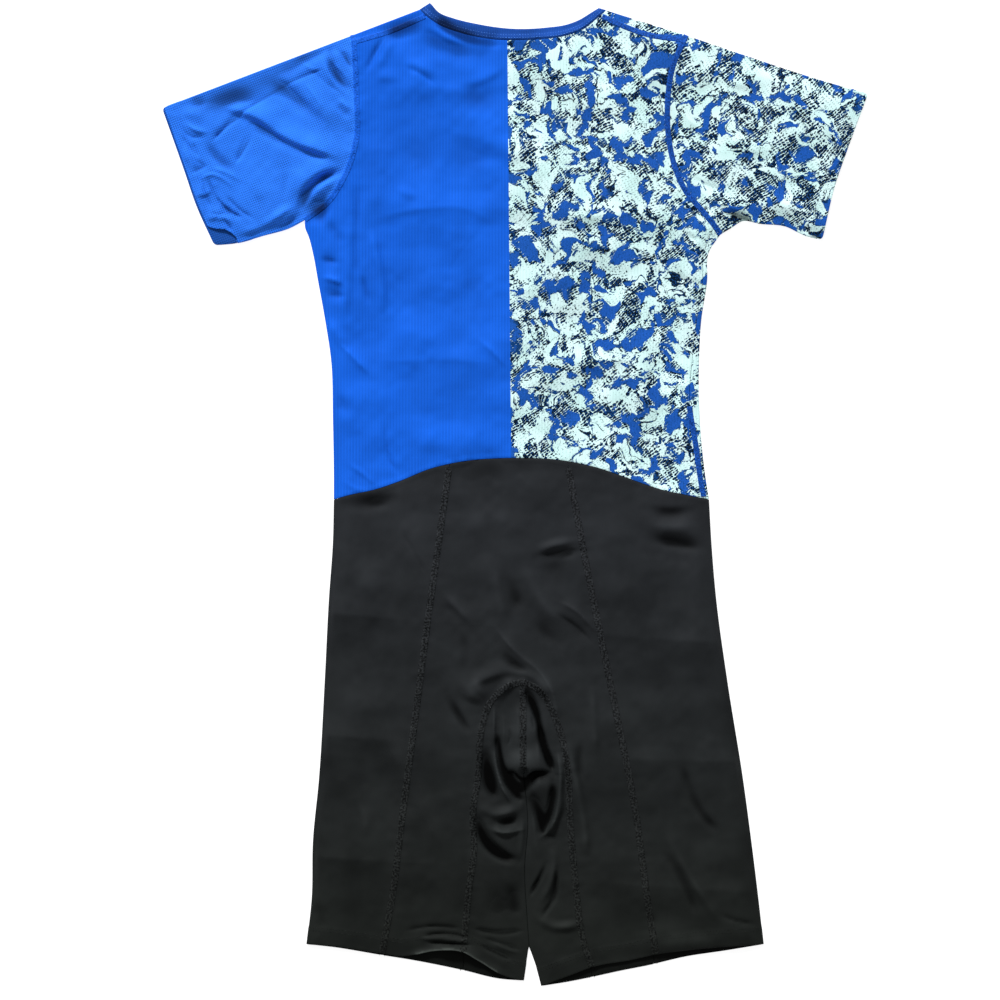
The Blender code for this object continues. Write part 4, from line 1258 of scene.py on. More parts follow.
@dataclass
class SeamMaker:
    """Lays looper threads and stitches along the seams and hems."""

    relief: Relief
    cloth: float = 0.7
    pitch: float = 3.1
    stitch_length: float = 2.3
    stitch_radius: float = 0.3
    leg_length: float = 7.0  # of a looper thread across a seam
    leg_radius: float = 0.27
    leg_lift: float = 0.34
    band_step: float = 1.2
    band_thickness: float = 0.34
    under_share: float = 0.25  # how much a band stands out below the under layer
    sunk: float = -0.28  # stitches of the under layer lie this deep in its cloth

    def __post_init__(self) -> None:
        """Models the two stitches that every seam copies."""
        self.stitch = self.model_stitch(self.stitch_length, self.stitch_radius)
        self.leg = self.model_stitch(self.leg_length, self.leg_radius)

    @staticmethod
    def model_stitch(length: float, radius: float) -> Model:
        """One stitch: a short thread along x whose ends dive into the cloth.

        Args:
            length: its length.
            radius: its thread's radius.

        Returns:
            its points and faces.
        """
        for obj in bpy.context.selected_objects:
            obj.select_set(False)
        bpy.ops.mesh.primitive_cylinder_add(vertices=5, radius=radius, depth=length,
                                            rotation=(0, math.pi / 2, 0))
        obj = bpy.context.object
        bpy.ops.object.transform_apply(location=True, rotation=True, scale=True)
        bpy.ops.object.mode_set(mode="EDIT")
        for place in (-0.28, 0.28):
            bpy.ops.mesh.select_all(action="SELECT")
            bpy.ops.mesh.bisect(plane_co=(place * length, 0, 0), plane_no=(1, 0, 0))
        bpy.ops.object.mode_set(mode="OBJECT")
        for vert in obj.data.vertices:
            vert.select = abs(vert.co.x) > 0.45 * length
        bpy.ops.object.mode_set(mode="EDIT")
        bpy.ops.mesh.select_mode(type="VERT")
        bpy.ops.transform.resize(value=(1, 0.55, 0.55), center_override=(0, 0, 0))
        bpy.ops.transform.translate(value=(0, 0, -0.8 * radius))
        bpy.ops.object.mode_set(mode="OBJECT")
        return unmade(obj)

    def lifts(self) -> tuple[tuple[Layer, float], ...]:
        """How far stitches along an edge stand out of each layer."""
        return (TOP, 0.0), (UNDER, self.sunk)

    @staticmethod
    def resampled(line: Array, step: float) -> Array:
        """A line's points at an even spacing."""
        length = stations(line)[-1]
        return places(line, np.linspace(0, length, max(2, round(length / step) + 1)))

    def surface(self, at: Array, layer: Layer, thickness: float | None = None) -> Array:
        """Points on the outer side of the cloth, over the given places of the pattern.

        Args:
            at: the places.
            layer: the layer.
            thickness: of the cloth there, if it isn't single.

        Returns:
            the points.
        """
        half = (thickness or self.cloth) / 2
        if layer is UNDER:
            return np.column_stack([at, np.full(len(at), self.relief.under_level - half)])
        if not thickness:
            depth = self.relief.nearest(at, [*self.relief.pattern.hem[TOP].values()], Shorts.hem_width + 5)
            half = half + (Cut.hem_cloth - self.cloth) / 2 * ease((Shorts.hem_width - depth) / 2 + 0.5)
        return np.column_stack([at, self.relief.height(at) + half])

    def track(self, line: Array, layer: Layer, step: float, offset: float = 0.0,
              thickness: float | None = None) -> Track:
        """A track along a line of the pattern.

        Args:
            line: the seam or edge.
            layer: the layer that it lies on.
            step: how far apart its places are.
            offset: how far to the left of the line it runs.
            thickness: of the cloth below it, if it isn't single.

        Returns:
            its places, with the way out of the cloth at each.
        """
        points = self.resampled(line, step)
        left = np.column_stack([left_of(points), np.zeros(len(points))])
        up = 1 if layer is TOP else -1
        return Track(self.surface(points + left[:, :2] * offset, layer, thickness), left,
                     np.tile((0.0, 0.0, up), (len(points), 1)))

    def around_fold(self, line: Array, facets: int = 7) -> Track:
        """The track of a seam round the fold that its line ends on, in so many facets.

        Args:
            line: the seam, up to the fold.
            facets: how many facets the fold has.

        Returns:
            the track.
        """
        points = self.resampled(line, self.band_step)
        across = np.array([*left_of(points)[-1], 0.0])
        way = np.array([across[1], -across[0], 0.0])
        radius = (self.relief.top_level - self.relief.under_level + self.cloth) / 2
        start = np.array([*points[-1], self.relief.middle]) - way * self.relief.fold_margin
        angles = np.linspace(math.pi / 2, -math.pi / 2, facets)[:, None]
        out = way * np.cos(angles) + np.array((0, 0, 1.0)) * np.sin(angles)
        return Track(start + out * radius, np.tile(across, (facets, 1)), out)

    def loop(self, top: Array, under: Array) -> Track:
        """The track of a seam that runs over the top layer, round a fold and back below.

        Args:
            top: the seam on the top layer, from fold to fold.
            under: the seam on the under layer, likewise.

        Returns:
            the track.
        """
        start, end = self.around_fold(top[::-1]), self.around_fold(top)
        over = self.track(top, TOP, self.band_step)
        below = self.track(under[::-1], UNDER, self.band_step)
        near = self.relief.fold_margin + self.band_step / 2
        over_kept, below_kept = (
            np.min([np.linalg.norm(part.places[:, :2] - tip, axis=1)
                    for tip in (top[0], top[-1])], axis=0) > near for part in (over, below))
        return Track(
            np.vstack([start.places[::-1], over.places[over_kept], end.places, below.places[below_kept]]),
            np.vstack([-start.across[::-1], over.across[over_kept], end.across, -below.across[below_kept]]),
            np.vstack([start.out[::-1], over.out[over_kept], end.out, below.out[below_kept]]))

    def band(self, track: Track, width: float, shell: Shell) -> None:
        """Adds the threads that fill a flatlock seam, as a low ribbed band.

        Args:
            track: where it runs.
            width: the band's width.
            shell: the trim that it is added to.
        """
        level = track.out[:, 2] > 0.99
        columns, count = 7 if level.any() else 5, len(track.places)
        offsets = np.linspace(-width / 2, width / 2, columns)
        edge = 1 - np.abs(offsets / (width / 2))**4
        along = np.arange(count) * self.band_step
        wave = 0.06 * np.sin(math.tau * (along[:, None] / self.pitch + offsets / width))
        lift = 0.04 + 0.16 * edge - 0.10 * np.exp(-(offsets / 0.7)**2) + wave * edge
        lift = lift * np.where(track.out[:, 2] < -0.5, self.under_share, 1)[:, None]
        grid = (track.places[:, None] + track.across[:, None] * offsets[:, None]
                + track.out[:, None] * lift[..., None])
        if level.any():
            drop = self.surface(grid[level].reshape(-1, 3)[:, :2], TOP)[:, 2]
            grid[level, :, 2] = drop.reshape(-1, columns) + lift[level]
        plan = np.column_stack([np.repeat(along, columns), np.tile(offsets, count)])
        size = count * columns
        numbers = shell.add(grid.reshape(-1, 3), plan, plan, np.full(size, self.band_thickness),
                            np.full(size, 0.15)).reshape(count, columns)
        shell.faces += zip(*(corner.ravel() for corner in (
            numbers[:-1, :-1], numbers[1:, :-1], numbers[1:, 1:], numbers[:-1, 1:])))
        shell.layers += [TOP] * ((count - 1) * (columns - 1))

    def row(self, track: Track, lift: float) -> Model:
        """A row of stitches along a track, standing out from the cloth."""
        way = unit(np.gradient(track.places, axis=0))
        return self.copies(self.stitch, track.places, way, track.out, lift + 0.25 * self.stitch_radius)

    def zigzag(self, line: Array, width: float) -> Model:
        """The looper thread that crosses a seam of the top layer to and fro.

        Args:
            line: the seam.
            width: how far the thread swings.

        Returns:
            its points and faces.
        """
        turns = self.resampled(line, self.pitch / 2)
        swing = np.where(np.arange(len(turns)) % 2, 0.5, -0.5)[:, None] * width
        ends = self.surface(turns + left_of(turns) * swing, TOP)
        way, spots = ends[1:] - ends[:-1], (ends[1:] + ends[:-1]) / 2
        middle = self.surface(spots[:, :2], TOP)
        spots[:, 2] = np.maximum(spots[:, 2], middle[:, 2]) + self.leg_lift
        return self.copies(self.leg, spots, unit(way), np.array([(0.0, 0.0, 1.0)]), 0.0,
                           np.linalg.norm(way, axis=1) / self.leg_length)

    @staticmethod
    def copies(model: Model, spots: Array, way: Array, out: Array, lift: float,
               stretch: Array | float = 1.0) -> Model:
        """Copies of a modelled stitch.

        Args:
            model: the stitch.
            spots: where the middles of the copies lie.
            way: the way that each runs.
            out: the way out of the cloth at each.
            lift: how far out they are moved.
            stretch: how much longer each is than the model.

        Returns:
            the points and faces of all of them.
        """
        points, faces = model
        out = unit(out - way * (out * way).sum(1, keepdims=True))
        axes = (way * np.broadcast_to(stretch, len(way))[:, None], np.cross(out, way), out)
        placed = (spots + out * lift)[:, None] + sum(
            axis[:, None] * points[:, i:i + 1] for i, axis in enumerate(axes))
        return placed.reshape(-1, 3), [[k + i * len(points) for k in face]
                                       for i in range(len(spots)) for face in faces]

    def trim(self, name: str, bands: Rows, rows: Rows,
             zigzags: Sequence[tuple[Array, float]], material: Material) -> Object:
        """Bands and rows of stitches as one object.

        Args:
            name: its name.
            bands: tracks and widths of the bands.
            rows: tracks and lifts of the rows of stitches.
            zigzags: lines and widths of the looper threads.
            material: the thread.

        Returns:
            the object.
        """
        made = [self.row(track, lift) for track, lift in rows]
        made += [self.zigzag(line, width) for line, width in zigzags]
        if bands:
            shell = Shell()
            for track, width in bands:
                self.band(track, width, shell)
            points, faces = unmade(ClothMaker.thicken(name, shell, material, rim_steps=1)[0])
            made.insert(0, (points / METRES + (CENTRE_OFFSET, 0, 0), faces))
        starts = np.cumsum([0] + [len(points) for points, _ in made])
        faces = [[k + start for k in face] for (_, part), start in zip(made, starts) for face in part]
        points = np.vstack([points for points, _ in made])
        obj = mesh_object(name, points, faces, material)
        low, size = points[:, :2].min(0), np.ptp(points[:, :2], axis=0).max()
        keep_map(obj, (points[np.concatenate(faces), :2] - low) / size * 0.96 + 0.02)
        # painted shade and painted highlight of the creases, as an attribute of the mesh
        self.relief.mark(obj)
        return obj


def worked_out(operation: str, turned: bool = False) -> Callable:
    """A sign of arithmetic between numbers of a node tree.

    Args:
        operation: what the math node does.
        turned: whether the other number comes first.

    Returns:
        the method for that sign.
    """
    def result(one: "Value", other: object) -> "Value":
        """The number that the sign gives."""
        return one.nodes.math(operation, *((other, one) if turned else (one, other)))
    return result


@dataclass(frozen=True)
class Value:
    """A number, place or colour in a node tree; numbers can be written as a sum."""

    nodes: "Nodes"
    socket: NodeSocket

    __add__, __sub__ = worked_out("ADD"), worked_out("SUBTRACT")
    __mul__, __truediv__ = worked_out("MULTIPLY"), worked_out("DIVIDE")
    __rsub__ = worked_out("SUBTRACT", turned=True)


@dataclass(frozen=True)
class Nodes:
    """Adds nodes to a tree and joins them in few words."""

    tree: NodeTree

    def feed(self, node: Node, inputs: dict) -> None:
        """Gives inputs of a node, by name or number, their values.

        Args:
            node: the node.
            inputs: a number, colour or other node's value for each.
        """
        for key, value in inputs.items():
            if isinstance(value, Value):
                self.tree.links.new(value.socket, node.inputs[key])
            else:
                node.inputs[key].default_value = value

    def outputs(self, kind: str, inputs: dict, **settings: object) -> list[Value]:
        """Every output of a new node with some inputs and settings.

        Args:
            kind: the node's type.
            inputs: its inputs.
            **settings: its settings.

        Returns:
            its outputs, in order.
        """
        node = self.tree.nodes.new(kind)
        for key, value in settings.items():
            setattr(node, key, value)
        self.feed(node, inputs)
        return [Value(self, socket) for socket in node.outputs]

    def add(self, kind: str, inputs: dict, output: str = "", **settings: object) -> Value:
        """The named output, or the first one, of a new node with some inputs and settings."""
        outputs = self.outputs(kind, inputs, **settings)
        return next(value for value in outputs if output in ("", value.socket.name))

    def math(self, operation: str, *values: object) -> Value:
        """A number worked out from numbers."""
        return self.add("ShaderNodeMath", dict(enumerate(values)), operation=operation)

    def vector(self, operation: str, *values: object) -> Value:
        """A vector worked out from vectors."""
        return self.add("ShaderNodeVectorMath", dict(enumerate(values)), operation=operation)

    def scaled(self, vector: object, scale: object) -> Value:
        """A vector or a colour times a number."""
        return self.add("ShaderNodeVectorMath", {0: vector, "Scale": scale}, operation="SCALE")

    def turned(self, place: Value, angle: float) -> Value:
        """A place turned by some degrees."""
        return self.add("ShaderNodeVectorRotate", {"Vector": place, "Angle": math.radians(angle)},
                        rotation_type="Z_AXIS")

    def parts(self, vector: Value) -> list[Value]:
        """How far across, up and out a place is."""
        return self.outputs("ShaderNodeSeparateXYZ", {0: vector})

    def mix(self, share: object, low: object, high: object) -> Value:
        """A colour between two colours."""
        return self.outputs("ShaderNodeMix", {0: share, 6: low, 7: high}, data_type="RGBA")[2]

    def noise(self, place: Value, size: float, detail: float = 2.0, shift: float = 0.0,
              output: str = "") -> Value:
        """Soft noise.

        Args:
            place: where it is read, in millimetres.
            size: how large its swells are.
            detail: how many finer layers it has.
            shift: moves it, so that two noises of a size differ.
            output: "Color" for three noises instead of one.

        Returns:
            the noise, from 0 to 1.
        """
        moved = self.vector("ADD", self.scaled(place, 1 / size), (shift, 1.7 * shift, 0.0))
        return self.add("ShaderNodeTexNoise", {"Vector": moved, "Scale": 1.0, "Detail": detail,
                                               "Roughness": 0.55}, output, noise_dimensions="2D")

    def ramp(self, value: Value, start: object, end: object) -> Value:
        """0 up to a start, 1 from an end, and a straight way between them."""
        return self.add("ShaderNodeMapRange", {"Value": value, "From Min": start, "From Max": end})


@dataclass
class Effect:
    """A shared effect as a node group with named inputs and outputs."""

    name: str
    inputs: dict[str, float | tuple[float, ...]]
    outputs: tuple[str, ...]
    build: Callable[[Nodes, dict[str, Value]], dict[str, Value]]

    def __post_init__(self) -> None:
        """Makes the group."""
        self.tree = bpy.data.node_groups.new(self.name, "ShaderNodeTree")
        kinds = {3: "NodeSocketVector", 4: "NodeSocketColor"}
        for name, value in self.inputs.items():
            kind = kinds[len(value)] if isinstance(value, tuple) else "NodeSocketFloat"
            socket = self.tree.interface.new_socket(name=name, in_out="INPUT", socket_type=kind)
            socket.default_value = value
        for name in self.outputs:
            kind = kinds[4] if name == "Colour" else "NodeSocketFloat"
            self.tree.interface.new_socket(name=name, in_out="OUTPUT", socket_type=kind)
        nodes = Nodes(self.tree)
        given = {value.socket.name: value for value in nodes.outputs("NodeGroupInput", {})}
        nodes.outputs("NodeGroupOutput", self.build(nodes, given))


def knit_loops(nodes: Nodes, given: dict[str, Value]) -> dict[str, Value]:
    """Rows and columns of knitted loops, as a height and a shade.

    Args:
        nodes: the tree that they are made in.
        given: what goes into the group, by name.

    Returns:
        the outputs, by name.
    """
    place, rib = given["Place"], given["Rib"]
    across, up, _ = nodes.parts(place)
    wale = nodes.math("SINE", across * math.tau / given["Wale"])
    course = nodes.math("SINE", wale * given["Stagger"] + up * math.tau / given["Course"])
    loops = wale * rib + course * (1.0 - rib)
    fuzz = nodes.noise(place, 1.3, 3) - 0.5
    patchy = nodes.noise(place, 22, 2, 9.0) * 1.8 + 0.1
    open_mesh = nodes.ramp(loops, -0.15, -0.75) * given["Holes"]
    return {"Height": loops * 0.5 + 0.5 + fuzz * 0.7,
            "Shade": (loops * 0.5 - open_mesh) * patchy + fuzz * 0.8}


def cloth_tone(nodes: Nodes, given: dict[str, Value]) -> dict[str, Value]:
    """A colour that drifts a little lighter and darker, and with a shade.

    Args:
        nodes: the tree that they are made in.
        given: what goes into the group, by name.

    Returns:
        the outputs, by name.
    """
    place = given["Place"]
    drift = nodes.noise(place, 90, 1) - 0.5 + (nodes.noise(place, 24, 2, 5.0) - 0.5) * 0.5
    specks = nodes.ramp(nodes.noise(place, 2.1, 1, 3.0), 0.38, 0.62) - 0.5
    level = (drift * given["Drift"] + 1.0 + given["Shade"] * given["Grain"] + specks * given["Speckle"])
    return {"Colour": nodes.scaled(given["Colour"], level)}


def splash_print(nodes: Nodes, given: dict[str, Value]) -> dict[str, Value]:
    """A scattered print: ragged patches, screened dots and scratches on a pale ground.

    Args:
        nodes: the tree that they are made in.
        given: what goes into the group, by name.

    Returns:
        the outputs, by name.
    """
    place, edge, dense = given["Place"], given["Cover"], given["Dense"]
    half = (0.5, 0.5, 0.5)

    def pushed(at: Value, size: float, amount: float) -> Value:
        """A place moved about by noise."""
        push = nodes.vector("SUBTRACT", nodes.noise(at, size, 2, 3.1, "Color"), half)
        return nodes.vector("ADD", at, nodes.scaled(push, amount))

    def swells(at: Value, size: float, detail: float, shift: float, start: float, end: float) -> Value:
        """Where noise is high: 0 below a start and 1 above an end."""
        return nodes.ramp(nodes.noise(at, size, detail, shift), start, end)

    bent = pushed(place, 40, 34)
    torn = pushed(pushed(bent, 6, 8), 2.4, 3.4)
    patch = nodes.noise(torn, 18, 2, 0.0)
    fine = nodes.noise(place, 1.7, 1, 7.7)
    density = nodes.noise(bent, 22, 3, 12.0)
    # dashes on a slanting lattice, each of its own size
    slanted = nodes.turned(pushed(pushed(place, 60, 16), 3.4, 2.2), -36)
    lattice = nodes.vector("MULTIPLY", slanted, (1 / 4.4, 1 / 2.8, 0.0))
    chance = nodes.add("ShaderNodeTexWhiteNoise", {"Vector": nodes.vector("FLOOR", lattice)},
                       noise_dimensions="2D")
    across, up, _ = nodes.parts(nodes.vector("SUBTRACT", nodes.vector("FRACTION", lattice), half))
    from_dash = nodes.math("SQRT", nodes.math("POWER", across * 0.72, 2.0) + nodes.math("POWER", up, 2.0))
    blue = nodes.ramp(from_dash * -0.07 + patch, edge - 0.024, edge - 0.018)
    near = nodes.ramp(patch, edge - 0.05, edge - 0.02)
    spread = nodes.math("MAXIMUM", nodes.ramp(density, dense, dense + 0.1), near)
    dots = nodes.ramp(spread * (chance * 0.44 + 0.23) - from_dash, 0.0, 0.02)
    line = nodes.math("ABSOLUTE", nodes.noise(torn, 15, 1, 20.0) - 0.5)
    scratch = nodes.ramp(line, 0.036, 0.028) * swells(bent, 26, 1, 31.0, 0.53, 0.56)
    specks = swells(place, 2.7, 1, 61.0, 0.65, 0.67) * nodes.ramp(density, 0.42, 0.46)
    dark = nodes.math("MAXIMUM", nodes.math("MAXIMUM", dots, scratch), specks)
    rim = (nodes.ramp(nodes.math("ABSOLUTE", patch - (edge - 0.02)), 0.016, 0.008)
           * nodes.ramp(fine, 0.42, 0.50))
    screen = nodes.ramp(swells(bent, 30, 2, 55.0, 0.36, 0.56) * 0.24 - from_dash, 0.0, 0.03)
    ground = nodes.mix(swells(place, 30, 2, 44.0, 0.35, 0.65), given["Pale"], given["Tint"])
    ground = nodes.mix(screen * 0.35, ground, given["Dark"])
    ink = nodes.mix(nodes.math("MAXIMUM", nodes.ramp(fine, 0.52, 0.66), near * 0.85),
                    given["Dark"], given["Deep"])
    patched = nodes.mix(blue, ground, nodes.mix(nodes.ramp(fine, 0.50, 0.8), given["Blue"], given["Deep"]))
    covered = blue * 0.85 * nodes.ramp(patch, edge + 0.01, edge + 0.035)
    shown = nodes.math("MAXIMUM", dark * (1.0 - covered), rim)
    return {"Colour": nodes.mix(shown, patched, ink)}


def rgba(colour: Colour) -> tuple[float, float, float, float]:
    """A colour as a socket takes it."""
    return (*colour, 1.0)


@dataclass(frozen=True)
class Inks:
    """The colours of the scattered print."""

    pale: Colour = (0.71, 0.95, 0.96)
    tint: Colour = (0.61, 0.88, 0.87)
    blue: Colour = (0.013, 0.100, 0.47)
    deep: Colour = (0.006, 0.056, 0.21)
    dark: Colour = (0.0006, 0.0055, 0.013)
    cover: float = 0.578  # patches lie where their noise is above this
    dense: float = 0.47  # and dashes where theirs is

    def values(self) -> dict[str, float | tuple[float, ...]]:
        """The print's inputs."""
        return {name.capitalize(): rgba(value) if isinstance(value, tuple) else value
                for name, value in vars(self).items()}


class Effects:
    """The effects that the cloths share."""

    def __init__(self) -> None:
        """Makes the groups."""
        colour, place = rgba((1, 1, 1)), (0.0, 0.0, 0.0)
        self.loops = Effect("knit_loops", {"Place": place, "Wale": 1.0, "Course": 1.0,
                                           "Rib": 0.5, "Stagger": 0.0, "Holes": 0.0},
                            ("Height", "Shade"), knit_loops)
        self.tone = Effect("cloth_tone", {"Place": place, "Colour": colour, "Shade": 0.0,
                                          "Drift": 0.1, "Grain": 0.1, "Speckle": 0.0},
                           ("Colour",), cloth_tone)
        self.splash = Effect("splash_print", {"Place": place, **Inks().values()}, ("Colour",), splash_print)


@dataclass(frozen=True)
class Knit:
    """Matt stretch knit of one colour."""

    colour: Colour
    wale: float = 1.6  # spacing of the columns of loops
    course: float = 1.4  # and of the rows
    rib: float = 0.5  # share of the columns in the pattern
    stagger: float = 0.0  # how far neighbouring loops are shifted
    depth: float = 0.12  # of the loops
    drift: float = 0.12  # how much the tone drifts
    grain: float = 0.10  # how much the loops shade the colour
    roughness: float = 0.7
    specular: float = 0.06
    wrong_side: float = 0.45  # share of the colour on the cloth's inner faces: painted shade
    hollow: float = 0.15  # share of the colour at the bottom of a crease: painted shade
    crest: float = 0.10  # painted highlight: how much lighter the colour is made on a crest and along the hem's lip
    speckle: float = 0.0  # contrast of the light and dark specks of its threads
    holes: float = 0.0  # how dark its mesh is between the threads
    turn: float = 0.0  # degrees from its columns to the garment's length

    def paint(self, nodes: Nodes, effects: Effects, place: Value) -> object:
        """The cloth's colour before its tone."""
        return self.colour

    def shading(self, nodes: Nodes, place: Value) -> object:
        """How much the loops shade the colour."""
        return self.grain

    def material(self, name: str, effects: Effects) -> Material:
        """The cloth as a material of a name.

        Args:
            name: its name.
            effects: the groups of nodes that finishes share.

        Returns:
            the material.
        """
        material = bpy.data.materials.new(name)
        material.use_nodes = True
        nodes = Nodes(material.node_tree)
        place = nodes.vector("MULTIPLY", nodes.add("ShaderNodeTexCoord", {}, "Object"),
                             (1 / METRES, 1 / METRES, 0.0))
        height, shade = nodes.outputs("ShaderNodeGroup", {
            "Place": nodes.turned(place, -self.turn), "Wale": self.wale, "Course": self.course,
            "Rib": self.rib, "Stagger": self.stagger, "Holes": self.holes}, node_tree=effects.loops.tree)
        # painted shade on the inner faces and in creases, and painted highlight on crests and the hem's lip
        inside, deep = (nodes.outputs("ShaderNodeAttribute", {}, attribute_name=mark)[2]
                        for mark in (WRONG_SIDE_PAINTED_SHADE, PAINTED_SHADING))
        side = (inside * (self.wrong_side - 1) + 1.0) * (
            nodes.math("MAXIMUM", deep, 0.0) * (self.hollow - 1)
            + (nodes.math("MINIMUM", deep, 0.0) * -self.crest + 1.0))
        tone = nodes.add("ShaderNodeGroup", {
            "Place": place, "Colour": nodes.scaled(self.paint(nodes, effects, place), side),
            "Shade": shade, "Drift": self.drift, "Grain": self.shading(nodes, place),
            "Speckle": self.speckle}, node_tree=effects.tone.tree)
        bump = nodes.add("ShaderNodeBump", {"Height": height, "Distance": self.depth * METRES,
                                            "Strength": 1.0})
        nodes.feed(material.node_tree.nodes["Principled BSDF"], {
            "Base Color": tone, "Roughness": shade * 0.1 + self.roughness, "Normal": bump,
            "Specular IOR Level": self.specular})
        return material


@dataclass(frozen=True)
class DeepKnit(Knit):
    """Matt stretch knit that gets darker down the legs."""

    low: tuple[float, ...] = (0.56, 0.58, 0.46)  # shares of its colour at the hems
    top: float = -20.0  # where it starts to get darker
    bottom: float = -480.0

    def paint(self, nodes: Nodes, effects: Effects, place: Value) -> Value:
        """The colour, darker towards the hems."""
        return nodes.mix(nodes.ramp(nodes.parts(place)[1], self.bottom, self.top),
                         rgba(tuple(np.multiply(self.low, self.colour))), rgba(self.colour))


@dataclass(frozen=True)
class PrintedKnit(Knit):
    """Stretch knit with the scattered print all over."""

    inks: Inks = Inks()

    def paint(self, nodes: Nodes, effects: Effects, place: Value) -> Value:
        """The print."""
        return nodes.add("ShaderNodeGroup", {"Place": place, **self.inks.values()},
                         node_tree=effects.splash.tree)


@dataclass(frozen=True)
class TwoToneKnit(PrintedKnit):
    """Stretch knit that is plain on the left of a line and printed on its right."""

    split: float = -4.0  # where the line is at the waist, across the object
    slope: float = -0.009  # and how far it runs to the right for each step up
    quiet: float = 0.6  # how much less the loops show through the print

    def printed(self, nodes: Nodes, place: Value) -> Value:
        """1 beyond the line."""
        across, up, _ = nodes.parts(place)
        return nodes.ramp(across - (up * self.slope + self.split), -0.3, 0.3)

    def shading(self, nodes: Nodes, place: Value) -> Value:
        """How much the loops shade the colour."""
        return self.printed(nodes, place) * (-self.quiet * self.grain) + self.grain

    def paint(self, nodes: Nodes, effects: Effects, place: Value) -> Value:
        """The plain colour, and the print beyond the line."""
        return nodes.mix(self.printed(nodes, place), rgba(self.colour),
                         super().paint(nodes, effects, place))


@dataclass(frozen=True)
class Thread(Knit):
    """Spun thread, which shows its twist."""

    wale: float = 0.9
    course: float = 0.9
    depth: float = 0.1
    grain: float = 0.4
    roughness: float = 0.6
    specular: float = 0.08


@dataclass(frozen=True)
class Finishes:
    """Every finish of the suit, by the name of its slot in the record."""

    two_tone_knit: Knit = TwoToneKnit((0.0067, 0.109, 0.65), wale=3.4, rib=0.9, depth=0.14,
                                      grain=0.18, drift=0.26, hollow=0.35)
    printed_knit: Knit = PrintedKnit((0.7, 0.9, 0.9), wale=2.3, course=2.3, stagger=1.6,
                                     depth=0.10, grain=0.06, drift=0.10, turn=-17.7,
                                     inks=Inks(cover=0.611, dense=0.435))
    blue_mesh_knit: Knit = Knit((0.024, 0.180, 0.86), wale=2.3, course=2.5, rib=0.45,
                                stagger=1.25, depth=0.26, grain=0.5, drift=0.24, hollow=0.25,
                                holes=0.4, turn=21.0)
    neck_rib: Knit = Knit((0.011, 0.066, 0.33), wale=1.9, course=1.4, rib=0.7, depth=0.2,
                          grain=0.35, drift=0.5)
    black_knit: Knit = DeepKnit((0.0182, 0.0202, 0.0232), wale=1.2, course=1.1, depth=0.07,
                                drift=0.7, grain=0.18, roughness=0.62, specular=0.04,
                                hollow=0.02, crest=0.62)
    royal_thread: Knit = Thread((0.0078, 0.110, 0.63), speckle=0.3)
    light_thread: Knit = Thread((0.080, 0.250, 0.80), specular=0.1, speckle=0.4)
    blue_thread: Knit = Thread((0.009, 0.072, 0.36), speckle=0.6)
    pale_thread: Knit = Thread((0.50, 0.68, 0.70), grain=0.2, roughness=0.5, specular=0.2)
    black_thread: Knit = DeepKnit((0.0168, 0.0186, 0.0213), wale=1.0, course=1.0, depth=0.1,
                                  grain=0.6, roughness=0.6, specular=0.08, speckle=1.25)


@dataclass
class Workroom:
    """What every sub-assembly is made with."""

    pattern: Pattern
    maker: ClothMaker
    seams: SeamMaker
    cloths: dict[str, Material]

    def trim(self, name: str, slot: str, thread: str, rows: Rows, bands: Rows = (),
             zigzags: Sequence[tuple[Array, float]] = ()) -> Object:
        """Makes and dresses a trim of threads.

        Args:
            name: its name.
            slot: the record's slot that its finish belongs to; not used.
            thread: its finish.
            rows: tracks of stitches, with how far they stand out.
            bands: tracks of bands, with their widths.
            zigzags: seams that looper threads cross, with the width of their swing.

        Returns:
            the threads as one object.
        """
        obj = self.seams.trim(name, bands, rows, zigzags, self.cloths[thread])
        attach(obj, BODY)
        log.info("%s: %d faces", name, len(obj.data.polygons))
        return obj

    def dress(self, cut: Cut, slot: str, flat: tuple[float, float],
              trims: Sequence[Object] = ()) -> Object:
        """Makes and dresses a cut piece, which stands for the solid of its name.

        Args:
            cut: the piece.
            slot: its slot, which is also its finish.
            flat: width and length of the rectangle that it is cut from, in metres.
            trims: the threads on it; not used.

        Returns:
            the piece.
        """
        obj, area = self.maker.build(cut, self.cloths[slot])
        obj.name = f"{cut.name}_cloth"
        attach(obj, BODY)
        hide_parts(cut.name)
        log.info("%s: %d faces, %.4f square metres of cloth, cut from %.3f", obj.name,
                 len(obj.data.polygons), area, flat[0] * flat[1])
        return obj


@dataclass
class NeckBinding:
    """The band round the neck: its back on top, its deeper front below."""

    cloth: float = 1.3
    stitch_rows: tuple[float, ...] = (1.9, 5.2)
    flat: tuple[float, float] = (0.60, 0.022)

    def build(self, room: Workroom) -> None:
        """Makes the binding and its stitches.

        Args:
            room: where it is made.
        """
        pattern = room.pattern
        left, right = joined(NECK_FREE[0], NECK_SEAM[0]), joined(NECK_SEAM[-1], NECK_FREE[-1])
        sheets = tuple(Sheet(layer, (Edge(FOLD, left, "neck_left"), Edge(SEAM, pattern.neck_seam[layer]),
            Edge(FOLD, right, "neck_right"), Edge(OPEN, pattern.neck_free[layer][::-1])))
            for layer in Layer)
        rows = [(room.seams.track(shortened(pattern.neck_seam[layer], 4, 4), layer,
                                  room.seams.pitch, offset, self.cloth), lift)
                for layer, lift in room.seams.lifts() for offset in self.stitch_rows]
        stitches = room.trim("neck_binding_stitches", "neck_rib", "light_thread", rows)
        room.dress(Cut("neck_binding", sheets, top_cell=2.0, under_cell=3.5, cloth=self.cloth,
                       overlap=0.7), "neck_rib", self.flat, [stitches])


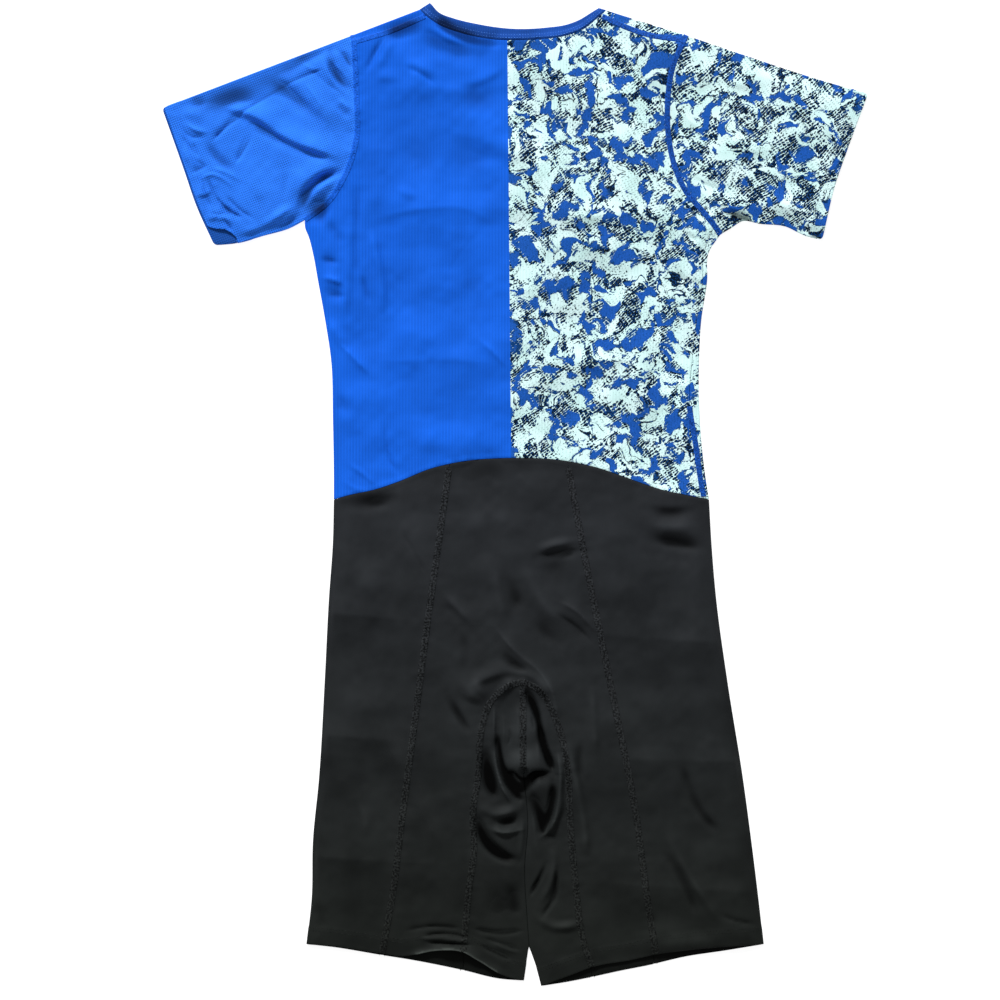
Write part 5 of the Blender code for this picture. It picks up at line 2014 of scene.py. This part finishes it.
@dataclass
class TopBody:
    """The body of the top: the back, which shows, and the front below it."""

    side_turn: float = 4.0  # the back turns under this far at its left side
    band_width: float = 5.8
    needle_gap: float = 2.0
    back_flat: tuple[float, float] = (0.48, 0.54)
    front_flat: tuple[float, float] = (0.50, 0.56)

    def build(self, room: Workroom) -> None:
        """Makes both panels and the seams on them.

        Args:
            room: where they are made.
        """
        room.dress(self.front(room.pattern), "two_tone_knit", self.front_flat)
        room.dress(self.back(room.pattern), "two_tone_knit", self.back_flat,
                   [self.seams(room, LEFT, "blue_mesh_knit", "royal_thread"),
                    self.seams(room, RIGHT, "neck_rib", "blue_thread")])

    def back(self, pattern: Pattern) -> Cut:
        """The back, which turns under a little way at its left side.

        Args:
            pattern: the curves.

        Returns:
            the piece.
        """
        fold = Edge(FOLD, pattern.body_side[LEFT][::-1], "body_left")
        strip = pattern.body_side[LEFT] + (self.side_turn, 0)
        armhole, waist, side = pattern.armhole[RIGHT], pattern.waist[TOP], pattern.side_seam
        neck = between(pattern.neck_seam[TOP], SHOULDER_SEAM[LEFT][0], SHOULDER_SEAM[RIGHT][0])
        back = Sheet(TOP, (Edge(SEAM, neck), Edge(SEAM, joined(neck[-1], pattern.shoulder_seam[RIGHT][1:])),
            Edge(SEAM, between(armhole, armhole[0], SIDE_SEAM[0])), Edge(SEAM, side),
            Edge(SEAM, joined(side[-1], between(waist, side[-1], WAIST[0])[1:])), fold,
            Edge(SEAM, pattern.armhole[LEFT][::-1]),
            Edge(SEAM, joined(pattern.shoulder_seam[LEFT][::-1][:-1], neck[0]))))
        under = Sheet(UNDER, (fold, Edge(SEAM, joined(fold.line[-1], strip[0])),
                              Edge(SEAM, strip), Edge(SEAM, joined(strip[-1], fold.line[0]))))
        return Cut("back_panel", (back, under))

    def front(self, pattern: Pattern) -> Cut:
        """The front, turned up over both shoulders and the right side.

        Args:
            pattern: the curves.

        Returns:
            the piece.
        """
        inner_side = pattern.body_side[LEFT] + (self.side_turn, 0)
        neck, armhole = pattern.neck_seam[TOP], pattern.whole_armhole[UNDER]
        side = Edge(FOLD, pattern.body_side[RIGHT], "body_right")
        sheets = [Sheet(UNDER, (Edge(SEAM, pattern.neck_seam[UNDER]),
            Edge(FOLD, pattern.shoulder_fold[RIGHT], "shoulder_right"), Edge(SEAM, armhole[RIGHT]), side,
            Edge(SEAM, joined(pattern.waist[UNDER][::-1][:-1], inner_side[-1])),
            Edge(SEAM, inner_side[::-1]), Edge(SEAM, joined(inner_side[0], armhole[LEFT][::-1][1:])),
            Edge(FOLD, pattern.shoulder_fold[LEFT][::-1], "shoulder_left")))]
        for hand in HANDS:
            seam = pattern.shoulder_seam[hand]
            junction = neck[np.linalg.norm(neck - seam[0], axis=1).argmin()]
            sheets.append(Sheet(TOP, (Edge(FOLD, pattern.shoulder_fold[hand], f"shoulder_{hand.value}"),
                Edge(SEAM, joined(SHOULDER_POINT[hand], seam[-1])),
                Edge(SEAM, joined(seam[::-1][:-1], junction)),
                Edge(SEAM, between(neck, junction, pattern.neck_corner(hand))))))
        sheets.append(Sheet(TOP, (side, Edge(SEAM, joined(side.line[-1], pattern.side_seam[-1])),
            Edge(SEAM, pattern.side_seam[::-1]), Edge(SEAM, joined(pattern.side_seam[0], side.line[0])))))
        return Cut("front_panel", tuple(sheets))

    def seams(self, room: Workroom, hand: Hand, slot: str, thread: str) -> Object:
        """The flatlock seams of one side: armhole, shoulder and, at the right, the side seam.

        Args:
            room: where they are made.
            hand: the side.
            slot: the slot of the cloth they join.
            thread: their finish.

        Returns:
            the threads.
        """
        pattern, maker = room.pattern, room.seams
        lines = [shortened(pattern.shoulder_seam[hand], 3, 2)]
        if hand is RIGHT:
            shown = between(pattern.side_seam, SIDE_SEAM_SHOWS, SIDE_SEAM[-1])
            lines.append(shortened(shown, 0, 2))
        tracks = [maker.loop(*(pattern.whole_armhole[layer][hand] for layer in Layer))]
        tracks += [maker.track(line, TOP, maker.band_step) for line in lines]
        lines.append(shortened(pattern.armhole[hand], 3, 3))
        rows = [(maker.track(line, TOP, maker.pitch, offset), 0.25)
                for line in lines for offset in (-self.needle_gap, self.needle_gap)]
        return room.trim(f"top_seams_{hand.value}", slot, thread, rows,
                         [(track, self.band_width) for track in tracks],
                         [(line, self.band_width - 0.6) for line in lines])


@dataclass
class Sleeve:
    """One sleeve: a flattened tube from the armhole to the open cuff."""

    hand: Hand
    slot: str
    thread: str
    hem_width: float = 16.0
    stitch_rows: tuple[float, ...] = (12.5, 15.5)
    corner: float = 5.0  # a cuff's corner is rounded over this length
    cuff_back: float = 0.0  # the top layer's cuff lies this far inside the under one's
    flap: tuple[Point, ...] = ()  # its lower corner, where it is turned back
    flat: tuple[float, float] = (0.44, 0.25)

    def build(self, room: Workroom) -> None:
        """Makes the sleeve and the stitches of its cuff.

        Args:
            room: where it is made.
        """
        pattern, hand = room.pattern, self.hand
        name = f"sleeve_{hand.value}"
        shoulder = shortened(pattern.sleeve_fold[hand], 0, self.corner)
        underarm = (between(pattern.underarm[hand], UNDERARM[hand][0], self.flap[-1])
                    if self.flap else shortened(pattern.underarm[hand], 0, self.corner))
        sheets = tuple(Sheet(layer, (Edge(FOLD, shoulder, name),
            Edge(OPEN, self.cuff(pattern, layer, shoulder[-1], underarm[-1])),
            Edge(FOLD, underarm[::-1], f"underarm_{hand.value}"),
            Edge(SEAM, pattern.whole_armhole[layer][hand][::-1]))) for layer in Layer)
        cut = Cut(name, sheets, top_cell=1.7, hem_width=self.hem_width)
        ends = {TOP: 24 if self.flap else 6, UNDER: 6}
        rows = [(room.seams.track(shortened(pattern.cuff[hand], 6, ends[layer]), layer,
                                  room.seams.pitch, self.inwards() * offset, cut.hem_cloth), lift)
                for layer, lift in room.seams.lifts() for offset in self.stitch_rows]
        stitches = room.trim(f"{name}_stitches", self.slot, self.thread, rows)
        room.dress(cut, self.slot, self.flat, [stitches])

    def inwards(self) -> int:
        """1 where the sleeve lies to the left of its cuff, and -1 where to the right."""
        return 1 if self.hand is LEFT else -1

    def cuff(self, pattern: Pattern, layer: Layer, start: Array, end: Array) -> Array:
        """The open edge of one layer.

        Args:
            pattern: the curves.
            layer: the layer.
            start: the end of the shoulder's fold.
            end: the end of the underarm's fold.

        Returns:
            the edge, from fold to fold.
        """
        line, under = pattern.cuff[self.hand], pattern.underarm[self.hand]
        if layer is TOP:
            line = line + left_of(line) * self.cuff_back * self.inwards()
        middle = shortened(line, self.corner, self.corner)
        first = self.turned(start, line[0], middle[0])
        if self.flap and layer is TOP:
            return joined(first, between(middle, middle[0], self.flap[0])[1:-1], self.flap)
        last = self.turned(middle[-1], line[-1], shortened(under, 0, self.corner)[-1])
        if self.flap:
            last = joined(last[:-1], between(under, under[-1], end)[2:])
        return joined(first, middle[1:-1], last)

    @staticmethod
    def turned(before: Array, corner: Array, after: Array, steps: int = 4) -> Array:
        """A rounded corner from one point to another."""
        share = np.linspace(0, 1, steps + 2)[:, None]
        return (1 - share)**2 * before + 2 * share * (1 - share) * corner + share**2 * after


@dataclass
class Shorts:
    """The shorts: seat and front, side panels and inner legs."""

    hem_width: float = 20.0
    stitch_rows: tuple[float, ...] = (15.5, 19.0)
    band_width: float = 7.2
    needle_gap: float = 2.7
    lean: float = 1.25
    seat_cell: float = 1.9
    centre_flat: tuple[float, float] = (0.30, 0.56)
    side_flat: tuple[float, float] = (0.27, 0.52)
    inner_flat: tuple[float, float] = (0.15, 0.35)

    def build(self, room: Workroom) -> None:
        """Makes all panels, their seams and their hems.

        Args:
            room: where they are made.
        """
        front, back = (self.centre(room.pattern, layer) for layer in (UNDER, TOP))
        for hand in HANDS:
            room.dress(self.side(room.pattern, hand), "black_knit", self.side_flat)
            room.dress(self.inner(room.pattern, hand), "black_knit", self.inner_flat)
        hems = self.hem_stitches(room)
        room.dress(front, "black_knit", self.centre_flat)
        room.dress(back, "black_knit", self.centre_flat, [self.seams(room), hems])

    def centre(self, pattern: Pattern, layer: Layer) -> Cut:
        """The seat or the front of the shorts: one panel that runs down both legs.

        Args:
            pattern: the curves.
            layer: the top one for the seat.

        Returns:
            the piece.
        """
        waist, edges = pattern.waist[layer], []
        for hand in HANDS:
            seam, inseam = pattern.long_seam[layer][hand], pattern.inseam[layer][hand]
            top = between(waist, (CROTCH[0], waist[len(waist) // 2][1]), seam[0])
            hem = between(pattern.hem[layer][hand], seam[-1], inseam[0])
            chain = [Edge(SEAM, top), Edge(SEAM, joined(top[-1], seam[1:])), Edge(OPEN, hem),
                     Edge(SEAM, joined(hem[-1], inseam[1:]))]
            if hand is RIGHT:
                chain = [Edge(edge.kind, edge.line[::-1]) for edge in reversed(chain)]
            edges += chain
        return Cut("shorts_back" if layer is TOP else "shorts_front",
                   (Sheet(layer, tuple(edges)),), top_cell=self.seat_cell, hem_width=self.hem_width)

    def side(self, pattern: Pattern, hand: Hand) -> Cut:
        """A side panel, turned under along its outer edge.

        Args:
            pattern: the curves.
            hand: which side.

        Returns:
            the piece.
        """
        sheets = []
        fold = pattern.leg_side[hand]
        for layer in Layer:
            seam = pattern.long_seam[layer][hand]
            top = between(pattern.waist[layer], seam[0], fold[0])
            sheets.append(Sheet(layer, (Edge(SEAM, top), Edge(FOLD, fold, f"leg_{hand.value}"),
                Edge(OPEN, between(pattern.hem[layer][hand], fold[-1], seam[-1])),
                Edge(SEAM, joined(seam[::-1][:-1], top[0])))))
        return Cut(f"shorts_side_{hand.value}", tuple(sheets), hem_width=self.hem_width)

    def inner(self, pattern: Pattern, hand: Hand) -> Cut:
        """An inner leg panel: the crotch seam, then round the inside of the leg to the hem.

        Args:
            pattern: the curves.
            hand: which leg.

        Returns:
            the piece.
        """
        sheets = []
        fold = pattern.leg_inside[hand]
        for layer in Layer:
            inseam = pattern.inseam[layer][hand]
            hem = between(pattern.hem[layer][hand], fold[-1], inseam[0])
            sheets.append(Sheet(layer, (Edge(SEAM, pattern.crotch_seam[layer]),
                Edge(FOLD, fold, f"inside_{hand.value}"), Edge(OPEN, hem),
                Edge(SEAM, joined(hem[-1], inseam[1:])))))
        return Cut(f"inner_leg_{hand.value}", tuple(sheets), top_cell=1.4, under_cell=3.5,
                   hem_width=self.hem_width, lean=self.lean)

    def seams(self, room: Workroom) -> Object:
        """The flatlock seams down the legs and round the inner panels.

        Args:
            room: where they are made.

        Returns:
            the threads.
        """
        pattern, maker = room.pattern, room.seams
        inseam = joined(pattern.inseam[TOP][LEFT], pattern.inseam[TOP][RIGHT][::-1][1:])
        top = [*(shortened(line, 4, 1) for line in pattern.long_seam[TOP].values()),
               shortened(inseam, 1, 1), shortened(pattern.crotch_seam[TOP], 4, 3)]
        under = [*(shortened(line, 2, 0.3) for line in pattern.long_seam[UNDER].values()),
                 *(shortened(line, 0.3, 2) for line in pattern.inseam[UNDER].values())]
        lines = [(line, TOP, 0.25, maker.band_step) for line in top]
        lines += [(line, UNDER, maker.sunk, 2 * maker.band_step) for line in under]
        bands = [(maker.track(line, layer, step), self.band_width) for line, layer, _, step in lines]
        rows = [(maker.track(line, layer, maker.pitch, offset), lift) for line, layer, lift, _ in lines
                for offset in (-self.needle_gap, self.needle_gap)]
        return room.trim("shorts_seams", "black_knit", "black_thread", rows, bands,
                         [(line, self.band_width - 0.6) for line in top])

    def hem_stitches(self, room: Workroom) -> Object:
        """Two rows of stitches round each leg's hem.

        Args:
            room: where they are made.

        Returns:
            the threads.
        """
        maker = room.seams
        rows = [(maker.track(shortened(line, 4, 4), layer, maker.pitch, offset, Cut.hem_cloth), lift)
                for layer, lift in maker.lifts() for line in room.pattern.hem[layer].values()
                for offset in self.stitch_rows]
        return room.trim("shorts_hem_stitches", "black_knit", "black_thread", rows)


@dataclass
class Studio:
    """A plain pale floor, soft light from the neck's side, and the camera above."""

    centre: Point = (-0.0166, -0.0055)
    seen: float = 1.1  # metres across the picture at the cloth
    lens: float = 130.0
    sensor: float = 36.0
    floor: Colour = (0.40, 0.40, 0.40)
    floor_size: float = 6.0
    floor_glow: float = 0.84  # the floor is a light table, so that shadows stay faint
    sky: float = 0.40
    key: float = 4.5
    key_height: float = 30.0  # degrees above the floor
    key_turn: float = 16.0  # degrees from the neck's side towards the left
    key_softness: float = 12.0

    def build(self) -> None:
        """Makes the floor, the light and the camera."""
        scene = bpy.context.scene
        for obj in bpy.context.selected_objects:
            obj.select_set(False)
        bpy.ops.mesh.primitive_plane_add(size=self.floor_size, location=(*self.centre, 0))
        floor = bpy.context.object
        floor.name = "floor"
        floor.data.materials.append(self.floor_material())
        world = scene.world or bpy.data.worlds.new("studio")
        scene.world = world
        world.use_nodes = True
        background = world.node_tree.nodes["Background"]
        background.inputs["Color"].default_value = rgba((1, 1, 1))
        background.inputs["Strength"].default_value = self.sky
        lamp = new_object("key", bpy.data.lights.new("key", "SUN"))
        lamp.data.energy = self.key
        lamp.data.angle = math.radians(self.key_softness)
        lamp.rotation_euler = (math.radians(self.key_height - 90), 0, math.radians(self.key_turn))
        camera = new_object("camera", bpy.data.cameras.new("camera"))
        camera.data.lens = self.lens
        camera.data.sensor_width = self.sensor
        camera.location = (*self.centre, self.lens / self.sensor * self.seen)
        scene.camera = camera
        scene.view_settings.view_transform = "Standard"

    def floor_material(self) -> Material:
        """Matt pale paper.

        Returns:
            the material.
        """
        material = bpy.data.materials.new("floor")
        material.use_nodes = True
        nodes = Nodes(material.node_tree)
        grain = nodes.noise(nodes.add("ShaderNodeTexCoord", {}, "Object"), 0.4)
        dim = tuple(0.99 * part for part in self.floor)
        nodes.feed(material.node_tree.nodes["Principled BSDF"], {
            "Base Color": nodes.mix(grain, rgba(dim), rgba(self.floor)), "Roughness": 0.9,
            "Specular IOR Level": 0.1, "Emission Color": rgba((1, 1, 1)),
            "Emission Strength": self.floor_glow})
        return material


def main() -> None:
    """Dresses the suit, one sub-assembly after the other."""
    logging.basicConfig(level=logging.INFO, format="%(message)s")
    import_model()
    pattern = Pattern()
    relief = Relief(pattern, LEFT_SLEEVE_CREASES + RIGHT_SLEEVE_CREASES + BODY_CREASES
                    + SHORTS_CREASES + CROTCH_CREASES)
    effects, finishes = Effects(), Finishes()
    cloths = {name: finish.material(name, effects) for name, finish in vars(finishes).items()}
    room = Workroom(pattern, ClothMaker(relief), SeamMaker(relief), cloths)
    for part in (TopBody(), NeckBinding(),
                 Sleeve(LEFT, "blue_mesh_knit", "royal_thread", cuff_back=2.2, flap=LEFT_CUFF_FLAP),
                 Sleeve(RIGHT, "printed_knit", "pale_thread"), Shorts()):
        part.build(room)
        log.info("%s is done", type(part).__name__)
    Studio().build()


if __name__ == "__main__":
    main()
